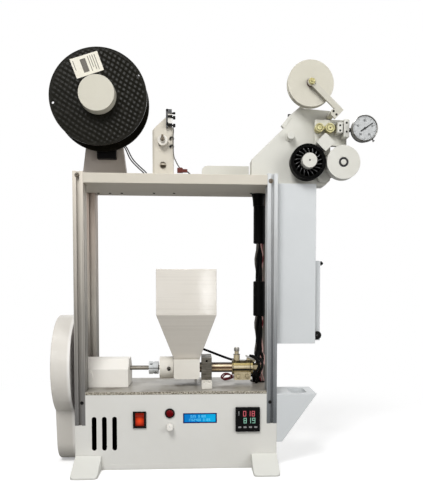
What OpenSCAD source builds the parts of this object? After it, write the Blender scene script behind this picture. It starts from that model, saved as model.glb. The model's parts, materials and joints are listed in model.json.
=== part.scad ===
// Desktop filament extruder: a base housing with the melt line on its plate, a T-slot frame
// that carries the winder deck, and a puller head with a dial gauge at the right.
// Millimetres, +Z up, front towards -Y. The origin is on the floor under the middle of the machine.

/* [Base housing] */
// Width of the base housing
base_w = 392; // [340:1:460]
// Depth of the base housing
base_d = 190; // [170:1:240]
// Height of the base housing under its top plate
base_h = 147; // [135:1:180]
// Wall of the base housing
base_wall = 3; // [2:0.5:5]
// Thickness of the metal plate on the housing
plate_t = 6; // [3:0.5:10]

/* [Feet] */
// Width of a stabiliser foot
foot_w = 50; // [30:1:70]
// Reach of a foot beyond the housing
foot_l = 64; // [40:1:90]
// Height of a foot at the housing
foot_h = 29; // [20:1:40]
// Thickness of a foot at its toe
foot_toe_h = 4; // [2:0.5:8]
// Corner radius of a toe
foot_corner_r = 8; // [3:1:14]

/* [Frame] */
// Width of a column across the front
column_w = 20; // [20:1:30]
// Depth of a column
column_d = 40; // [40:1:50]
// Height of a column's lower end
column_bottom = 88; // [60:1:110]
// Height of a column's upper end
column_top = 576; // [500:1:640]
// Width of the T-slot mouth
slot_w = 6; // [4:0.2:8]
// Height of the deck's underside
deck_bottom = 554; // [480:1:554]
// Thickness of the deck
deck_t = 19; // [15:0.5:20]

/* [Front panel] */
// Width of a vent slot
vent_w = 9; // [5:0.5:12]
// Length of a vent slot
vent_h = 66; // [40:1:80]
// Distance between vent slots
vent_pitch = 19.6; // [15:0.2:24]
// Width of the power switch bezel
switch_w = 25; // [22:0.5:30]
// Height of the power switch bezel
switch_h = 32; // [30:0.5:36]
// Diameter of the indicator lamp's ring
lamp_d = 19; // [14:0.5:24]
// Diameter of the speed knob
knob_d = 14; // [10:0.5:20]
// Length of the speed knob
knob_l = 13; // [9:0.5:18]
// Width of the display window
lcd_w = 66; // [60:1:72]
// Height of the display window
lcd_h = 20; // [16:0.5:26]
// Side of the temperature meter's bezel
meter_w = 48; // [40:1:52]

/* [Belt cover] */
// Thickness of the belt cover
cover_t = 37; // [28:1:50]
// Gap between the belt cover and the housing
cover_gap = 8; // [5:0.5:14]
// Radius of the cover's large lobe
cover_r = 102; // [95:1:115]
// Radius of the cover's small lobe
cover_low_r = 45; // [35:1:50]

/* [Melt line] */
// Diameter of the drive shaft
shaft_d = 9; // [6:0.5:12]
// Height of the drive shaft above the plate
shaft_rise = 35; // [32:0.5:45]
// Length of the gearbox block
gearbox_l = 97; // [80:1:100]
// Depth of the gearbox block
gearbox_d = 82; // [70:1:100]
// Diameter of the shaft coupling
coupling_d = 26.5; // [22:0.5:32]
// Length of the shaft coupling
coupling_l = 19.5; // [16:0.5:22]
// Diameter of the thrust collar
collar_d = 46; // [36:1:54]
// Length of the thrust collar
collar_l = 28.5; // [20:0.5:30]
// Width of the feed block
feed_w = 53; // [45:1:60]
// Height of the feed block
feed_h = 40; // [36:1:50]
// Side of the hopper's box
hopper_w = 120; // [90:1:130]
// Height of the hopper's box
hopper_box_h = 92; // [60:1:120]
// Height of the hopper's taper
hopper_taper_h = 92; // [60:1:120]
// Wall of the hopper
hopper_wall = 2.5; // [2:0.5:4]
// Diameter of the barrel
barrel_d = 21; // [18:0.5:24]
// Length of the barrel that shows before the heater
barrel_show_l = 43; // [30:1:60]
// Width of the steel barrel clamp
clamp_w = 21; // [18:0.5:30]
// Diameter of the heater band
heater_d = 31; // [27:0.5:36]
// Length of the heater band
heater_l = 43; // [30:1:50]

/* [Spool winder] */
// Diameter of the spool's flanges
spool_d = 189; // [160:1:196]
// Width of the spool over its flanges
spool_w = 66; // [50:1:70]
// Thickness of a spool flange
flange_t = 4; // [2:0.5:6]
// Diameter of the spool's drum
drum_d = 92; // [76:1:110]
// Diameter of the spool's hub cap
cap_d = 71; // [60:1:72]
// Length of the hub cap in front of the spool
cap_l = 26; // [15:1:30]
// Height of the spool's axis above the deck
spool_rise = 153.5; // [140:0.5:180]

/* [Puller head] */
// Diameter of the guide wheel
guide_wheel_d = 90; // [70:1:100]
// Width of the guide wheel
guide_wheel_w = 18; // [12:1:22]
// Diameter of the finned drive wheel
drive_wheel_d = 69; // [60:1:70]
// Width of the finned drive wheel
drive_wheel_w = 24; // [18:1:28]
// Diameter of the idler wheel
idler_wheel_d = 66; // [56:1:68]
// Width of the idler wheel
idler_wheel_w = 24; // [18:1:28]
// Diameter of the filament that the wheels grip
filament_d = 1.75; // [1.75:0.05:3]
// Diameter of the dial gauge's bezel
gauge_d = 52; // [40:1:58]

/* [Side box] */
// Width of the side box
side_box_w = 79; // [60:1:100]
// Depth of the side box
side_box_d = 100; // [70:1:120]
// Height of the side box
side_box_h = 316; // [250:1:340]

/* [Hidden] */
$fn = 64;

// Overrun of every cut past the face that it opens
cut = 1;
// Radial clearance of a shaft or pin that turns in its bore
run_fit = 0.05;
// Clearance of a piece set into a panel or pocket
set_fit = 0.3;

// Colours
paint = "#e9e6de";
cool_paint = "#e4e6ea";
alloy = "#9a9d9f";
steel = "#85827c";
plate_grey = "#a5a298";
brass = "#c9a24a";
black = "#1b1b1c";
dark_red = "#8a1a16";
blue = "#2d6fd0";

// Heights that the pieces share
plate_top = base_h + plate_t;
deck_top = deck_bottom + deck_t;
shaft_z = plate_top + shaft_rise;
spool_z = deck_top + spool_rise;

// T-slot section
slot_lip = 1.8;
slot_core_w = 11;
slot_core_h = 1.2;
slot_depth = 6;
slot_floor_w = 6;
core_bore_d = 5;

// Front panel: vents and switch from the left edge, meter from the right edge, the rest from the middle
vent_in = 36.5;
vent_x = -base_w / 2 + vent_in;
vent_z = 71.7;
vent_n = 3;
switch_in = 124;
switch_x = -base_w / 2 + switch_in;
switch_z = 98.4;
switch_lip = 3;
switch_proud = 2.5;
switch_body_d = 20;
rocker_gap = 0.4;
rocker_pivot_in = 5;
rocker_rise = 6.5;
rocker_dip = 4;
rocker_back = 6;
rocker_rest_tilt = 9;
lamp_x = -13.6;
lamp_z = 110.5;
lamp_proud = 3;
lamp_lens_d = 14;
lamp_body_d = 12;
lamp_body_l = 24;
knob_x = -13.3;
knob_z = 84;
knob_gap = 1.5;
knob_tip_share = 0.82;
knob_shaft_d = 6;
knob_shaft_l = 12;
lcd_x = 45;
lcd_z = 100;
lcd_inset = 0.8;
lcd_board_margin = 8;
lcd_board_t = 9;
meter_in = 57.6;
meter_x = base_w / 2 - meter_in;
meter_z = 97.2;
meter_lip = 1.6;
meter_proud = 5;
meter_body_l = 72;
meter_corner_r = 1.5;

// Belt cover
cover_up = 8;
cover_z = shaft_z + cover_up;
cover_low_z = 48;
cover_waist_drop = 78;
cover_waist_z = shaft_z - cover_waist_drop;
cover_back_x = -base_w / 2 - cover_gap;
cover_out_x = cover_back_x - cover_t;
cover_rim_t = 2;
flange_inset = 14;

// Melt line, from the left end of the housing to the nozzle
shaft_y = base_d / 2;
gearbox_x = -base_w / 2;
gearbox_end_x = gearbox_x + gearbox_l;
gearbox_shoulder_h = 37;
gearbox_facet_d = 9;
gearbox_facet_h = 8;
gearbox_h = 56;
gearbox_roof_w = 40;
gearbox_boss_d = 26;
gearbox_boss_in = 14;
gearbox_boss_x = gearbox_x + gearbox_boss_in;
gearbox_boss_rise = 23;
gearbox_boss_z = plate_top + gearbox_boss_rise;
gearbox_boss_t = 2;
shaft_in = 40;
shaft_tip_gap = 4;
coupling_gap = 39;
coupling_x = gearbox_end_x + coupling_gap;
coupling_slit = 1.6;
coupling_groove = 1.2;
coupling_groove_w = 2.4;
collar_gap = 3;
collar_x = coupling_x + coupling_l + collar_gap;
collar_hole_d = 8.5;
collar_hole_l = 10;
collar_hole_in = 9;
feed_gap = 1;
feed_x = collar_x + collar_l + feed_gap;
feed_d = 70;
feed_bevel = 4;
feed_z = shaft_z - feed_h / 2;
throat_w = 34;
hopper_foot_w = 52;
hopper_x = feed_x + feed_w / 2;
hopper_z = feed_z + feed_h;
clamp_gap = 3.5;
clamp_x = feed_x + feed_w + clamp_gap;
clamp_front_y = 58;
clamp_up = 24;
clamp_down = 21.5;
clamp_hole_d = 5;
clamp_hole_up = 17;
clamp_hole_l = 14;
clamp_foot_front_y = 24;
clamp_foot_slot_w = 3;
clamp_foot_slot_h = 2;
barrel_in = 9;
barrel_x = clamp_x + clamp_w;
barrel_bore_d = 13;
heater_x = barrel_x + barrel_show_l;
heater_end_x = heater_x + heater_l;
heater_ear_w = 34;
heater_ear_d = 26;
heater_ear_h = 17;
heater_ear_drop = 10;
terminal_in = 10;
terminal_x = heater_x + terminal_in;
terminal_nut_d = 13;
terminal_nut_h = 12;
terminal_screw_d = 9;
terminal_screw_h = 14;
heater_clip_l = 18;
heater_clip_w = 10;
heater_clip_h = 4;
heater_clip_over = 6;
nozzle_l = 16;
nozzle_hex_w = 17;
nozzle_tip_d = 8;
nozzle_tip_l = 5;
nozzle_bore_d = 2;

// Cable bundle in front of the right rear column
bundle_in = 23;
bundle_gap = 0.5;
bundle_d = 15;
bundle_mouth_d = 24;
sleeve_d = 25;
sleeve_shares = [[0.74, 0.997], [0.248, 0.486]];
bundle_x = base_w / 2 - bundle_in;
bundle_y = base_d - column_d - sleeve_d / 2 - bundle_gap;
bundle_low_rise = 62;
bundle_low_z = plate_top + bundle_low_rise;
bundle_top_drop = 24;
bundle_top_z = deck_bottom - bundle_top_drop;
bundle_l = bundle_top_z - bundle_low_z;

// Leads of the heater: each table of places starts from the end that it is named after
lead_d = 5;
lead_sides = 8;
probe_lead_d = 3;
bundle_foot = [bundle_x, bundle_y, bundle_low_z];
heater_start = [heater_x, shaft_y, shaft_z];
heater_end = [heater_end_x, shaft_y, shaft_z];
rear_hole = [heater_x, shaft_y, plate_top];
upper_at_bundle = [[-3, -4, 0], [-3, -4, -8], [-4, -9, -14]];
upper_at_heater = [[11, 23, 12], [8, 13, 16], [2, 6, 22.5], [-6, 3, 22.5]];
lower_at_bundle = [[4, 0, 0], [4, 0, -13], [4, -5, -25]];
lower_at_heater = [[20, 27, -7], [17, 15, -14], [10, 5, -18], [2, 1, -18.5], [-4, 1, -18.5]];
rear_at_heater = [[6, 11, 15], [-2, 12, 15], [-27, 23, 23], [-51, 38, 31], [-66, 48, 34], [-74, 58, 22],
    [-76, 68, -6]];
rear_at_plate = [[-76, 71, 12], [-76, 71, 0]];
probe_at_heater = [[4, -7, -18], [0, -7, -18], [-6, -13, -14], [-14, -15, -14], [-20, -15, -20],
    [-16, -13, -25], [-6, -8, -24], [0, -5, -22], [4, -5, -22]];

// Leads on the deck: a pair from the winder and one from the limit switch through a connector
deck_lead_d = 2.5;
near_winder_lead = [[39, 15, 77], [43, 16, 70], [52, 19, 51], [67, 21, 35], [79, 22, 24],
    [88, 23, 12], [90, 23, 0]];
far_winder_lead = [[39, 20, 82], [45, 20, 74], [56, 21, 53], [71, 22, 37], [83, 23, 26],
    [93, 24, 12], [95, 24, 0]];
switch_lead = [[20, -5, 95.5], [21, -4, 88], [20, -4, 75], [21, -4, 43], [25, -3, 31],
    [31, -1, 20], [37, 1, 13]];
connector_tail = [[46, 1, 12], [53, 2, 6], [56, 3, 2], [57, 3, 0]];
connector_in = 28;
connector_l = 20;
connector_w = 10;
connector_low = 8;
connector_h = 9;

// Spool winder
spool_in = 44;
spool_x = -base_w / 2 + spool_in;
spool_y = 40;
spool_bore_d = 52;
spool_lug_d = 5;
spool_lug_share = 0.93;
spool_lug_turns = [28, 189];
cap_lip_share = 0.97;
cap_shaft_d = 10;
cap_shaft_l = 16;
winder_gap = 6;
winder_w = 39;
winder_t = 13;
winder_shift = 6;
winder_low_rise = 46.5;
winder_low_z = deck_top + winder_low_rise;
pedestal_t = 24;
pedestal_foot_w = 94;
pedestal_top_w = 56;

// Guide post
post_from_spool = 125;
post_x = spool_x + post_from_spool;
post_w = 41;
post_y = 40;
post_d = 30;
post_h = 90;
post_edge = 4;
post_ear_in = 7.5;
post_ear_h = 8;
post_peak_x = 6.5;
post_peak_w = 5;
post_peak_h = 26;
roller_rise = 69;
roller_z = deck_top + roller_rise;
roller_d = 20;
roller_w = 12;
roller_gap = 1;
roller_pin_d = 5;
roller_head_d = 8;
roller_head_t = 3;
switch_box_w = 17.5;
switch_box_t = 10;
switch_box_h = 34;
switch_box_in = 6.5;
switch_box_rise = 96;

// Box on the deck behind the puller head
deck_box_in = 146;
deck_box_x = base_w / 2 - deck_box_in;
deck_box_w = 98;
deck_box_d = 60;
deck_box_h = 35;
deck_box_y = 110;
deck_box_r = 12;

// Puller head, front face in X and Z from the deck's upper right edge
head_y = 40;
head_d = 45;
head_left_x = -48;
head_sill_z = 36.5;
head_slope_x = 14;
head_slope_z = 97;
head_neck_x = 27.5;
head_neck_z = 124;
head_peak_x = 51.5;
head_peak_z = 144;
head_crown_x = 56;
head_crown_z = 138;
head_right_x = 110;
head_right_z = 134;
head_corner = 10;
bracket_y = 28;
bracket_left_x = 76;
bracket_right_x = 140;
bracket_low_z = 63;
bracket_high_z = 114;
nip_x = 95;
wheel_y = 1;
drive_z = 27;
drive_x = nip_x - filament_d / 2 - drive_wheel_d / 2;
idler_x = nip_x + filament_d / 2 + idler_wheel_d / 2;
idler_z = 27;
drive_rim_t = 6;
drive_web_t = 8;
drive_fin_n = 18;
drive_fin_t = 2.2;
drive_fin_lean = 28;
drive_hub_d = 29;
drive_hub_l = 40;
drive_shaft_d = 8;
idler_bearing_d = 19;
idler_cap_in = 2;
idler_pin_d = 8;
idler_arm_t = 10;
idler_arm_r = 12;
idler_foot_x = 94;
idler_foot_z = 4;
guide_x = 64;
guide_z = 178;
guide_wheel_y = 6;
guide_groove = 5;
guide_axle_d = 8;
guide_head_d = 12;
guide_head_t = 5;
guide_washer_t = 2;
guide_washer_d = 14;
arm_y = -5;
arm_t = 6;
arm_tip_r = 7.5;
arm_w = 11;
arm_turn = -44;
arm_l = 76;
arm_heel_l = 18.5;
arm_spacer_x = 107;
arm_spacer_z = 121;
arm_spacer_d = 12;
gauge_x = 167;
gauge_z = 90;
gauge_y = -12;
gauge_bezel_t = 8;
gauge_body_share = 0.92;
gauge_body_t = 18;
gauge_glass_in = 1.5;
gauge_lip = 2.5;
gauge_stem_d = 8;
gauge_stem_y = 8;
gauge_block_y = 4;
gauge_block_d = 24;
near_block_x = 116.5;
near_block_w = 10.5;
near_block_z = 84;
near_block_h = 20;
far_block_x = 129;
far_block_w = 11;
far_block_z = 76;
far_block_h = 34;
left_roller_x = 83;
left_roller_d = 17.5;
right_roller_x = 103.8;
right_roller_d = 19;
roller_line_z = 95;
roller_front_y = 10;
roller_rod_d = 7;
roller_rod_x = 74;
guide_block_x = 94;
guide_block_z = 66;
guide_block_w = 26;
guide_block_y = 6;
guide_block_hole_d = 3;
guide_block_r = 3;
pin_x = 28.5;
pin_z = 81.5;
pin_d = 15;
pin_l = 18;
pin_flange_d = 19;
pin_flange_t = 3;

// Side box, side plate and chute at the right of the frame
side_box_y = 20;
side_drop = 13;
side_box_top = deck_top - side_drop;
side_box_low = side_box_top - side_box_h;
side_x = base_w / 2;
side_end_x = side_x + side_box_w;
side_plate_w = 12;
side_plate_y = 36;
side_plate_t = 12;
side_plate_h = 160;
side_plate_rise = 5;
side_plate_low = side_box_low + side_plate_rise;
grommet_up = 11;
grommet_l = 3;
chute_w = 80;
chute_d = 92;
chute_drop = 1;
chute_top = base_h - chute_drop;
chute_h = 95;
chute_low_w = 11;
chute_pocket_w = 34;
chute_pocket_l = 62;
chute_pocket_in = 46;
chute_pocket_x = side_x + chute_pocket_in;
chute_pocket_y = 46;
chute_pocket_depth = 12;
chute_pocket_r = 12;

// The middle of the machine, from the belt cover or the spool to the dial gauge
left_x = min(cover_out_x, spool_x - spool_d / 2);
right_x = side_x + gauge_x + gauge_d / 2;
origin_x = (left_x + right_x) / 2;

// Moves the machine from its housing's front edge to its own origin
module placed() translate([-origin_x, -base_d / 2, 0]) children();

// Moves the puller head from the deck's upper right edge
module at_head() placed() translate([side_x, 0, deck_top]) children();

// Box from its low corner
module block(low, size) translate(low) cube(size);

// Round rod along X, Y or Z
module rod_x(x0, x1, y, z, d) translate([x0, y, z]) rotate([0, 90, 0]) cylinder(d = d, h = x1 - x0);
module rod_y(x, y0, y1, z, d) translate([x, y1, z]) rotate([90, 0, 0]) cylinder(d = d, h = y1 - y0);
module rod_z(x, y, z0, z1, d) translate([x, y, z0]) cylinder(d = d, h = z1 - z0);

// Front view outline in X and Z, given depth from y0 to y1
module front_form(y0, y1) translate([0, y1, 0]) rotate([90, 0, 0]) linear_extrude(y1 - y0) children();

// Side view outline in Y and Z, given width from x0 to x1
module side_form(x0, x1) translate([x0, 0, 0]) rotate([90, 0, 90]) linear_extrude(x1 - x0) children();

// Rectangle about the origin with round corners
module round_rect(w, h, r) {
    square([w - 2 * r, h], center = true);
    square([w, h - 2 * r], center = true);
    for (sx = [-1, 1], sy = [-1, 1]) translate([sx * (w / 2 - r), sy * (h / 2 - r)]) circle(r);
}

// Upright slot with round ends
module slot_2d(w, h) {
    square([w, h - w], center = true);
    for (s = [-1, 1]) translate([0, s * (h - w) / 2]) circle(d = w);
}

// Tube of flat sides swept along a route, its side axis carried on from place to place without a twist
function unit(v) = v / norm(v);
function route_dir(p, i) = unit(p[min(i + 1, len(p) - 1)] - p[max(i - 1, 0)]);
function first_axis(t) = unit(cross(t, abs(t.z) > abs(t.x) ? [1, 0, 0] : [0, 0, 1]));
function side_axes(p, i, u) = i == len(p) ? [] :
    let (t = route_dir(p, i), v = unit(u - (u * t) * t)) concat([v], side_axes(p, i + 1, v));
module cable(p, d, sides) {
    axes = side_axes(p, 0, first_axis(route_dir(p, 0)));
    rings = [for (i = [0:len(p) - 1], j = [0:sides - 1])
        let (u = axes[i], v = cross(route_dir(p, i), u), a = 360 * j / sides)
        p[i] + d / 2 * (cos(a) * u + sin(a) * v)];
    last = (len(p) - 1) * sides;
    walls = [for (i = [0:len(p) - 2], j = [0:sides - 1], upper = [0, 1])
        let (k = (j + 1) % sides, a = i * sides, b = a + sides)
        upper == 0 ? [a + j, b + k, a + k] : [a + j, b + j, b + k]];
    ends = [[for (j = [0:sides - 1]) j], [for (j = [sides - 1:-1:0]) last + j]];
    polyhedron(rings, concat(walls, ends));
}

// Plan of the housing above the column seats
module notched_plan(inset) {
    difference() {
        translate([-base_w / 2 + inset, inset]) square([base_w - 2 * inset, base_d - 2 * inset]);
        for (sx = [-1, 1], y = [column_d / 2, base_d - column_d / 2])
            translate([sx * (base_w - column_w) / 2, y])
                square([column_w + 2 * inset, column_d + 2 * inset], center = true);
    }
}

module base_housing() color(paint) placed() difference() {
    union() {
        block([-base_w / 2, 0, 0], [base_w, base_d, column_bottom]);
        linear_extrude(base_h) notched_plan(0);
    }
    block([-base_w / 2 + base_wall, base_wall, base_wall],
        [base_w - 2 * base_wall, base_d - 2 * base_wall, column_bottom - 2 * base_wall]);
    translate([0, 0, base_wall]) linear_extrude(base_h) notched_plan(base_wall);
    front_form(-cut, base_wall + cut) panel_holes();
}

// Holes in the front panel
module panel_holes() {
    for (i = [0:vent_n - 1]) translate([vent_x + i * vent_pitch, vent_z]) slot_2d(vent_w, vent_h);
    translate([switch_x, switch_z]) square([switch_w - switch_lip, switch_h - switch_lip], center = true);
    translate([lamp_x, lamp_z]) circle(d = lamp_body_d + 2 * set_fit);
    translate([knob_x, knob_z]) circle(d = knob_shaft_d + 2 * run_fit);
    translate([lcd_x, lcd_z]) square([lcd_w, lcd_h], center = true);
    translate([meter_x, meter_z]) square(meter_w - 2 * meter_lip, center = true);
}

module base_plate() color(plate_grey) placed()
    translate([0, 0, base_h]) linear_extrude(plate_t) notched_plan(0);

// Wedge foot with round toe corners, at the left front corner
module foot() {
    intersection() {
        side_form(0, foot_w) polygon([[0, 0], [-foot_l, 0], [-foot_l, foot_toe_h], [0, foot_h]]);
        translate([foot_w / 2, 0]) linear_extrude(foot_h) round_rect(foot_w, 2 * foot_l, foot_corner_r);
    }
}
module foot_left() translate([-base_w / 2, 0, 0]) foot();
module foot_right() translate([base_w / 2 - foot_w, 0, 0]) foot();
module at_rear() translate([0, base_d, 0]) mirror([0, 1, 0]) children();

module foot_front_left() color(paint) placed() foot_left();
module foot_front_right() color(paint) placed() foot_right();
module foot_rear_left() color(paint) placed() at_rear() foot_left();
module foot_rear_right() color(paint) placed() at_rear() foot_right();

// T-slot groove that opens at the origin and runs in towards +Y
module slot_groove() polygon([
    [-slot_w / 2, -cut], [-slot_w / 2, slot_lip], [-slot_core_w / 2, slot_lip],
    [-slot_core_w / 2, slot_lip + slot_core_h], [-slot_floor_w / 2, slot_depth],
    [slot_floor_w / 2, slot_depth], [slot_core_w / 2, slot_lip + slot_core_h],
    [slot_core_w / 2, slot_lip], [slot_w / 2, slot_lip], [slot_w / 2, -cut]
]);

// Column section about its own middle, with grooves on every face and a core bore in each half
module column_section() difference() {
    square([column_w, column_d], center = true);
    for (s = [0, 180]) rotate(s) translate([0, -column_d / 2]) slot_groove();
    for (s = [90, 270], y = [-column_d / 4, column_d / 4])
        rotate(s) translate([y, -column_w / 2]) slot_groove();
    for (y = [-column_d / 4, column_d / 4]) translate([0, y]) circle(d = core_bore_d);
}

module column(sx, y) color(alloy) placed()
    translate([sx * (base_w - column_w) / 2, y, column_bottom])
        linear_extrude(column_top - column_bottom) column_section();
module column_front_left() column(-1, column_d / 2);
module column_front_right() column(1, column_d / 2);
module column_rear_left() column(-1, base_d - column_d / 2);
module column_rear_right() column(1, base_d - column_d / 2);

module top_deck() color(paint) placed()
    translate([0, 0, deck_bottom]) linear_extrude(deck_t) notched_plan(0);

// Belt cover in side view: a large lobe on the shaft and a small one below, joined by tangents
cover_waist_w = sqrt(pow(cover_r, 2) - pow(cover_z - cover_waist_z, 2));
cover_rise = cover_waist_z - cover_low_z;
cover_tangent = atan2(cover_rise, cover_waist_w) - acos(cover_low_r / norm([cover_waist_w, cover_rise]));
module cover_outline(inset) {
    low_r = cover_low_r - inset;
    waist_w = cover_waist_w - inset;
    translate([shaft_y, cover_z]) circle(cover_r - inset, $fn = 128);
    translate([shaft_y, cover_low_z]) circle(low_r);
    translate([shaft_y, cover_low_z]) polygon([
        [waist_w, cover_rise], [-waist_w, cover_rise],
        [-low_r * cos(cover_tangent), low_r * sin(cover_tangent)],
        [low_r * cos(cover_tangent), low_r * sin(cover_tangent)]
    ]);
}

module belt_cover() color(paint) placed() {
    side_form(cover_out_x + cover_rim_t, cover_back_x) cover_outline(0);
    side_form(cover_out_x, cover_out_x + cover_rim_t) cover_outline(cover_rim_t);
}

module belt_flange() color(black) placed()
    side_form(cover_back_x, -base_w / 2) intersection() {
        cover_outline(flange_inset);
        translate([column_d, 0]) square([base_d - 2 * column_d, column_top]);
    }

module switch_bezel() color(black) placed() difference() {
    union() {
        translate([switch_x, 0, switch_z]) front_form(-switch_proud, 0)
            square([switch_w, switch_h], center = true);
        translate([switch_x, 0, switch_z]) front_form(0, switch_body_d)
            square([switch_w - switch_lip - 2 * set_fit, switch_h - switch_lip - 2 * set_fit],
                center = true);
    }
    translate([switch_x, 0, switch_z])
        front_form(-switch_proud - cut, rocker_pivot_in + rocker_r + rocker_gap)
            square([rocker_w + 2 * rocker_gap, 2 * rocker_r + 2 * rocker_gap], center = true);
}

// Rocker: two shallow ramps inside a cylinder about its pivot, so that it turns clear of the bezel
rocker_w = switch_w - 3 * switch_lip;
rocker_r = switch_h / 2 - switch_lip;
module switch_rocker() color(dark_red) placed() translate([switch_x, rocker_pivot_in, switch_z])
    rotate([rocker_rest_tilt, 0, 0]) intersection() {
        side_form(-rocker_w / 2, rocker_w / 2) polygon([
            [-rocker_pivot_in - rocker_rise, -rocker_r], [-rocker_pivot_in - rocker_dip + switch_proud, 0],
            [-rocker_pivot_in - rocker_rise, rocker_r], [rocker_back, rocker_r], [rocker_back, -rocker_r]
        ]);
        rod_x(-rocker_w / 2, rocker_w / 2, 0, 0, 2 * rocker_r);
    }

module indicator_lamp() color(dark_red) placed() {
    difference() {
        rod_y(lamp_x, -lamp_proud, 0, lamp_z, lamp_d);
        rod_y(lamp_x, -lamp_proud - cut, -lamp_proud / 2, lamp_z, lamp_lens_d);
    }
    rod_y(lamp_x, -lamp_proud, lamp_body_l, lamp_z, lamp_body_d);
}

module speed_knob() color(paint) placed() {
    translate([knob_x, -knob_gap, knob_z]) rotate([90, 0, 0])
        cylinder(d1 = knob_d, d2 = knob_d * knob_tip_share, h = knob_l);
    rod_y(knob_x, -knob_gap, knob_shaft_l, knob_z, knob_shaft_d);
}

module lcd_display() color(blue) placed() {
    translate([lcd_x, 0, lcd_z]) front_form(lcd_inset, base_wall)
        square([lcd_w - 2 * set_fit, lcd_h - 2 * set_fit], center = true);
    translate([lcd_x, 0, lcd_z]) front_form(base_wall, base_wall + lcd_board_t)
        square([lcd_w + 2 * lcd_board_margin, lcd_h + 2 * lcd_board_margin], center = true);
}

module temperature_meter() color(black) placed() {
    translate([meter_x, 0, meter_z]) front_form(-meter_proud, 0)
        round_rect(meter_w, meter_w, meter_corner_r);
    translate([meter_x, 0, meter_z]) front_form(0, meter_body_l)
        square(meter_w - 2 * meter_lip - 2 * set_fit, center = true);
}

// Gearbox block with a faceted roof, bored for the drive shaft
gearbox_front_y = shaft_y - gearbox_d / 2;
module gearbox() color(paint) placed() difference() {
    union() {
        translate([0, shaft_y, plate_top]) side_form(gearbox_x, gearbox_end_x) polygon([
            for (s = [-1, 1], p = s < 0 ? gearbox_side() : reverse(gearbox_side())) [s * p.x, p.y]
        ]);
        rod_y(gearbox_boss_x, gearbox_front_y - gearbox_boss_t, gearbox_front_y, gearbox_boss_z,
            gearbox_boss_d);
    }
    rod_x(gearbox_end_x - shaft_in, gearbox_end_x + cut, shaft_y, shaft_z, shaft_d + 2 * run_fit);
}
function reverse(v) = [for (i = [len(v) - 1:-1:0]) v[i]];
function gearbox_side() = [
    [gearbox_d / 2, 0], [gearbox_d / 2, gearbox_shoulder_h],
    [gearbox_d / 2 - gearbox_facet_d, gearbox_shoulder_h + gearbox_facet_h],
    [gearbox_roof_w / 2, gearbox_h]
];

module drive_shaft() color(steel) placed()
    rod_x(gearbox_end_x - shaft_in, heater_end_x - shaft_tip_gap, shaft_y, shaft_z, shaft_d);

module shaft_coupling() color(cool_paint) placed() difference() {
    rod_x(coupling_x, coupling_x + coupling_l, shaft_y, shaft_z, coupling_d);
    difference() {
        rod_x(coupling_mid_x - coupling_groove_w / 2, coupling_mid_x + coupling_groove_w / 2,
            shaft_y, shaft_z, coupling_d + 2 * cut);
        rod_x(coupling_x, coupling_x + coupling_l, shaft_y, shaft_z, coupling_d - 2 * coupling_groove);
    }
    rod_x(coupling_x - cut, coupling_x + coupling_l + cut, shaft_y, shaft_z, shaft_d + 2 * run_fit);
    block([coupling_x - cut, shaft_y - coupling_d, shaft_z - coupling_slit / 2],
        [coupling_l + 2 * cut, coupling_d, coupling_slit]);
}
coupling_mid_x = coupling_x + coupling_l / 2;

module thrust_collar() color(paint) placed() difference() {
    rod_x(collar_x, collar_x + collar_l, shaft_y, shaft_z, collar_d);
    rod_x(collar_x - cut, collar_x + collar_l + cut, shaft_y, shaft_z, shaft_d + 2 * run_fit);
    rod_y(collar_x + collar_l - collar_hole_in, shaft_y - collar_d, shaft_y - collar_d / 2 + collar_hole_l,
        shaft_z, collar_hole_d);
}

module feed_block() color(paint) placed() difference() {
    translate([feed_x + feed_w / 2, 0, feed_z + feed_h / 2])
        front_form(shaft_y - feed_d / 2, shaft_y + feed_d / 2) polygon([
            [-feed_w / 2, feed_h / 2], [-feed_w / 2, -feed_h / 2 + feed_bevel],
            [-feed_w / 2 + feed_bevel, -feed_h / 2], [feed_w / 2 - feed_bevel, -feed_h / 2],
            [feed_w / 2, -feed_h / 2 + feed_bevel], [feed_w / 2, feed_h / 2]
        ]);
    block([hopper_x - throat_w / 2, shaft_y - throat_w / 2, shaft_z], [throat_w, throat_w, feed_h]);
    rod_x(feed_x - cut, feed_x + feed_w, shaft_y, shaft_z, barrel_bore_d);
    rod_x(feed_x + feed_w - barrel_in, feed_x + feed_w + cut, shaft_y, shaft_z, barrel_d);
}

// Taper between two squares about the origin
module taper(low_w, high_w, h) linear_extrude(h, scale = high_w / low_w) square(low_w, center = true);

module hopper() color(paint) placed() translate([hopper_x, shaft_y, hopper_z]) difference() {
    union() {
        taper(hopper_foot_w, hopper_w, hopper_taper_h);
        translate([-hopper_w / 2, -hopper_w / 2, hopper_taper_h]) cube([hopper_w, hopper_w, hopper_box_h]);
    }
    taper(throat_w, hopper_w - 2 * hopper_wall, hopper_taper_h);
    translate([0, 0, hopper_taper_h]) linear_extrude(hopper_box_h + cut)
        square(hopper_w - 2 * hopper_wall, center = true);
    translate([0, 0, -cut]) linear_extrude(2 * cut) square(throat_w, center = true);
}

module barrel_clamp() color(steel) placed() difference() {
    block([clamp_x, clamp_front_y, shaft_z - clamp_down],
        [clamp_w, 2 * (shaft_y - clamp_front_y), clamp_down + clamp_up]);
    rod_x(clamp_x - cut, clamp_x + clamp_w + cut, shaft_y, shaft_z, barrel_d);
    rod_y(clamp_x + clamp_w / 2, clamp_front_y - cut, clamp_front_y + clamp_hole_l,
        shaft_z + clamp_hole_up, clamp_hole_d);
}

module clamp_foot() color(cool_paint) placed() difference() {
    block([clamp_x, clamp_foot_front_y, plate_top],
        [clamp_w, 2 * (shaft_y - clamp_foot_front_y), shaft_z - clamp_down - plate_top]);
    for (s = [-1, 1])
        block([clamp_x + clamp_w / 2 + s * clamp_w / 4 - clamp_foot_slot_w / 2, clamp_foot_front_y - cut,
                shaft_z - clamp_down - clamp_foot_slot_h],
            [clamp_foot_slot_w, clamp_front_y - clamp_foot_front_y, clamp_foot_slot_h + cut]);
}

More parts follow.
